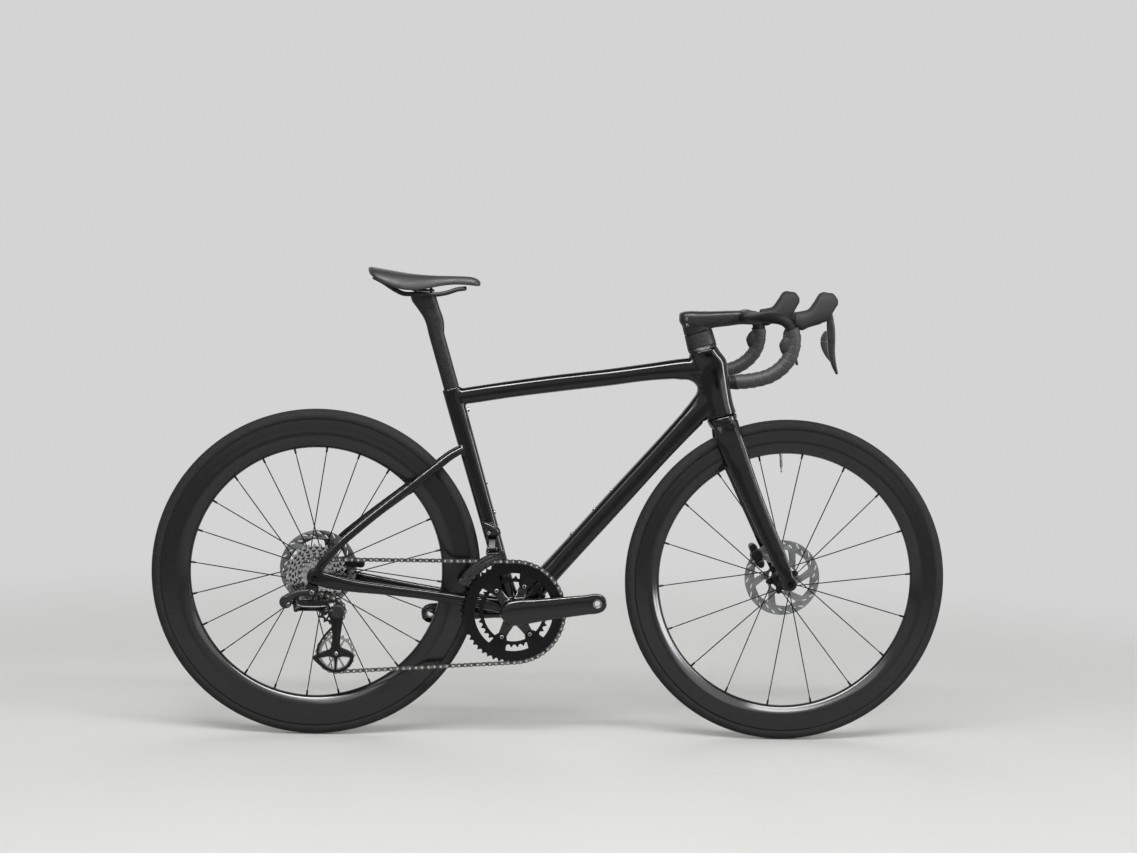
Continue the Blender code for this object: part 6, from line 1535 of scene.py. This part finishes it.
def seen_rays(tree):
    """1 on rays from the camera, off shiny surfaces or through clear ones, and 0 on the others."""
    ray = add(tree, "ShaderNodeLightPath")
    seen = ray.outputs["Is Camera Ray"]
    for kind in ("Is Glossy Ray", "Is Transmission Ray"):
        seen = calc(tree, "MAXIMUM", seen, ray.outputs[kind])
    return seen


def stage():
    """A wide pale floor that blends, 1.1 to 2.8 m out, into a pale sky that is darker overhead, and
    soft lamps, of which the two gleams show only in shiny surfaces."""
    floor = loose((np.array([(x, y, -0.0005) for x, y in ((-40, -40), (40, -40), (40, 40), (-40, 40))]),
                   [np.arange(4)[None]]))
    floor.name = "floor"
    paper = finish("matt_paper", None, "cfcfcd", 0.9, Specular_IOR_Level=0.1,
                   tint=(clouds(900.0), "cdcdcb", "d1d1cf"))
    tree = paper.node_tree
    place = add(tree, "ShaderNodeTexCoord").outputs["Object"]
    distance = add(tree, "ShaderNodeVectorMath", {0: place}, operation="LENGTH").outputs["Value"]
    far = add(tree, "ShaderNodeMapRange", {"Value": distance, "From Min": 1.1, "From Max": 2.8},
              interpolation_type="SMOOTHSTEP").outputs[0]
    share = calc(tree, "MULTIPLY", far, seen_rays(tree))
    shiny = add(tree, "ShaderNodeLightPath").outputs["Is Glossy Ray"]
    dimmed = calc(tree, "MULTIPLY_ADD", shiny, REFLECTED_SKY - 1, 1.0)
    sky = add(tree, "ShaderNodeEmission", {"Color": (1.0, 1.0, 1.0, 1.0),
                                           "Strength": calc(tree, "MULTIPLY", SKY, dimmed)}).outputs[0]
    matt = tree.nodes["Principled BSDF"].outputs[0]
    mix = add(tree, "ShaderNodeMixShader", {0: share, 1: matt, 2: sky}).outputs[0]
    tree.links.new(mix, tree.nodes["Material Output"].inputs["Surface"])
    floor.data.materials.append(paper)
    world = bpy.data.worlds.new("studio")
    bpy.context.scene.world = world
    world.use_nodes = True
    tree = world.node_tree
    background = tree.nodes["Background"]
    height = add(tree, "ShaderNodeSeparateXYZ",
                 {0: add(tree, "ShaderNodeTexCoord").outputs["Generated"]}).outputs[2]
    overhead = add(tree, "ShaderNodeMapRange", {"Value": height, "From Min": 0.2, "From Max": 0.75,
                                                "To Min": SKY, "To Max": 0.16},
                   interpolation_type="SMOOTHSTEP").outputs[0]
    strength = add(tree, "ShaderNodeMapRange",
                   {"Value": seen_rays(tree), "To Min": 0.5, "To Max": overhead}).outputs[0]
    background.inputs["Color"].default_value = (1.0, 1.0, 1.0, 1.0)
    tree.links.new(strength, background.inputs["Strength"])
    for name, place, aim, size, power, lights in (
            ("key", (-1.6, -2.6, 3.2), (0.0, 0.0, 0.4), (2.4, 2.4), 42.0, True),
            ("fill", (2.4, -2.2, 1.8), (0.2, 0.0, 0.5), (1.8, 1.8), 20.0, True),
            ("strip", (0.0, -1.7, 2.7), (0.0, 0.0, 0.5), (3.4, 0.26), 48.0, True),
            ("gleam_above", (0.0, -1.8, 2.7), (0.0, 0.0, 0.5), (3.6, 0.6), 150.0, False),
            ("gleam_ahead", (2.7, -1.1, 1.0), (0.4, 0.0, 0.7), (0.34, 1.7), 40.0, False),
            ("rim", (0.3, 2.8, 2.6), (0.0, 0.0, 0.5), (2.6, 2.6), 26.0, True)):
        lamp = bpy.data.lights.new(name, "AREA")
        lamp.shape, lamp.size, lamp.size_y, lamp.energy = "RECTANGLE", *size, power
        item = bpy.data.objects.new(name, lamp)
        away = unit(np.subtract(place, aim))
        first = unit(np.cross(UP, away))
        item.matrix_world = Matrix((*zip(first, np.cross(away, first), away, place), (0, 0, 0, 1)))
        item.visible_camera, item.visible_diffuse = False, lights
        bpy.context.scene.collection.objects.link(item)


FOCAL_PIXELS, PHOTO_PIXELS, SENSOR = 1993.4, 1137, 36.0


def set_camera():
    """The photograph's camera: its place, turned by yaw, pitch and roll, with the lens in pixels."""
    yaw, pitch, roll = radians(4.12), radians(4.06), radians(-1.61)
    ahead = np.array((sin(yaw) * cos(pitch), cos(yaw) * cos(pitch), -sin(pitch)))
    right = np.array((cos(yaw), -sin(yaw), 0.0))
    down = np.cross(ahead, right)
    across, below = cos(roll) * right + sin(roll) * down, -sin(roll) * right + cos(roll) * down
    data = bpy.data.cameras.new("camera")
    data.sensor_width, data.lens = SENSOR, FOCAL_PIXELS * SENSOR / PHOTO_PIXELS
    data.clip_end = 200.0
    camera = bpy.data.objects.new("camera", data)
    place = np.array((-0.2726, -4.1164, 0.9439))
    camera.matrix_world = Matrix((*zip(across, -below, -ahead, place), (0, 0, 0, 1)))
    bpy.context.scene.collection.objects.link(camera)
    bpy.context.scene.camera = camera


stage()
set_camera()
bpy.context.scene.view_settings.view_transform = "Standard"
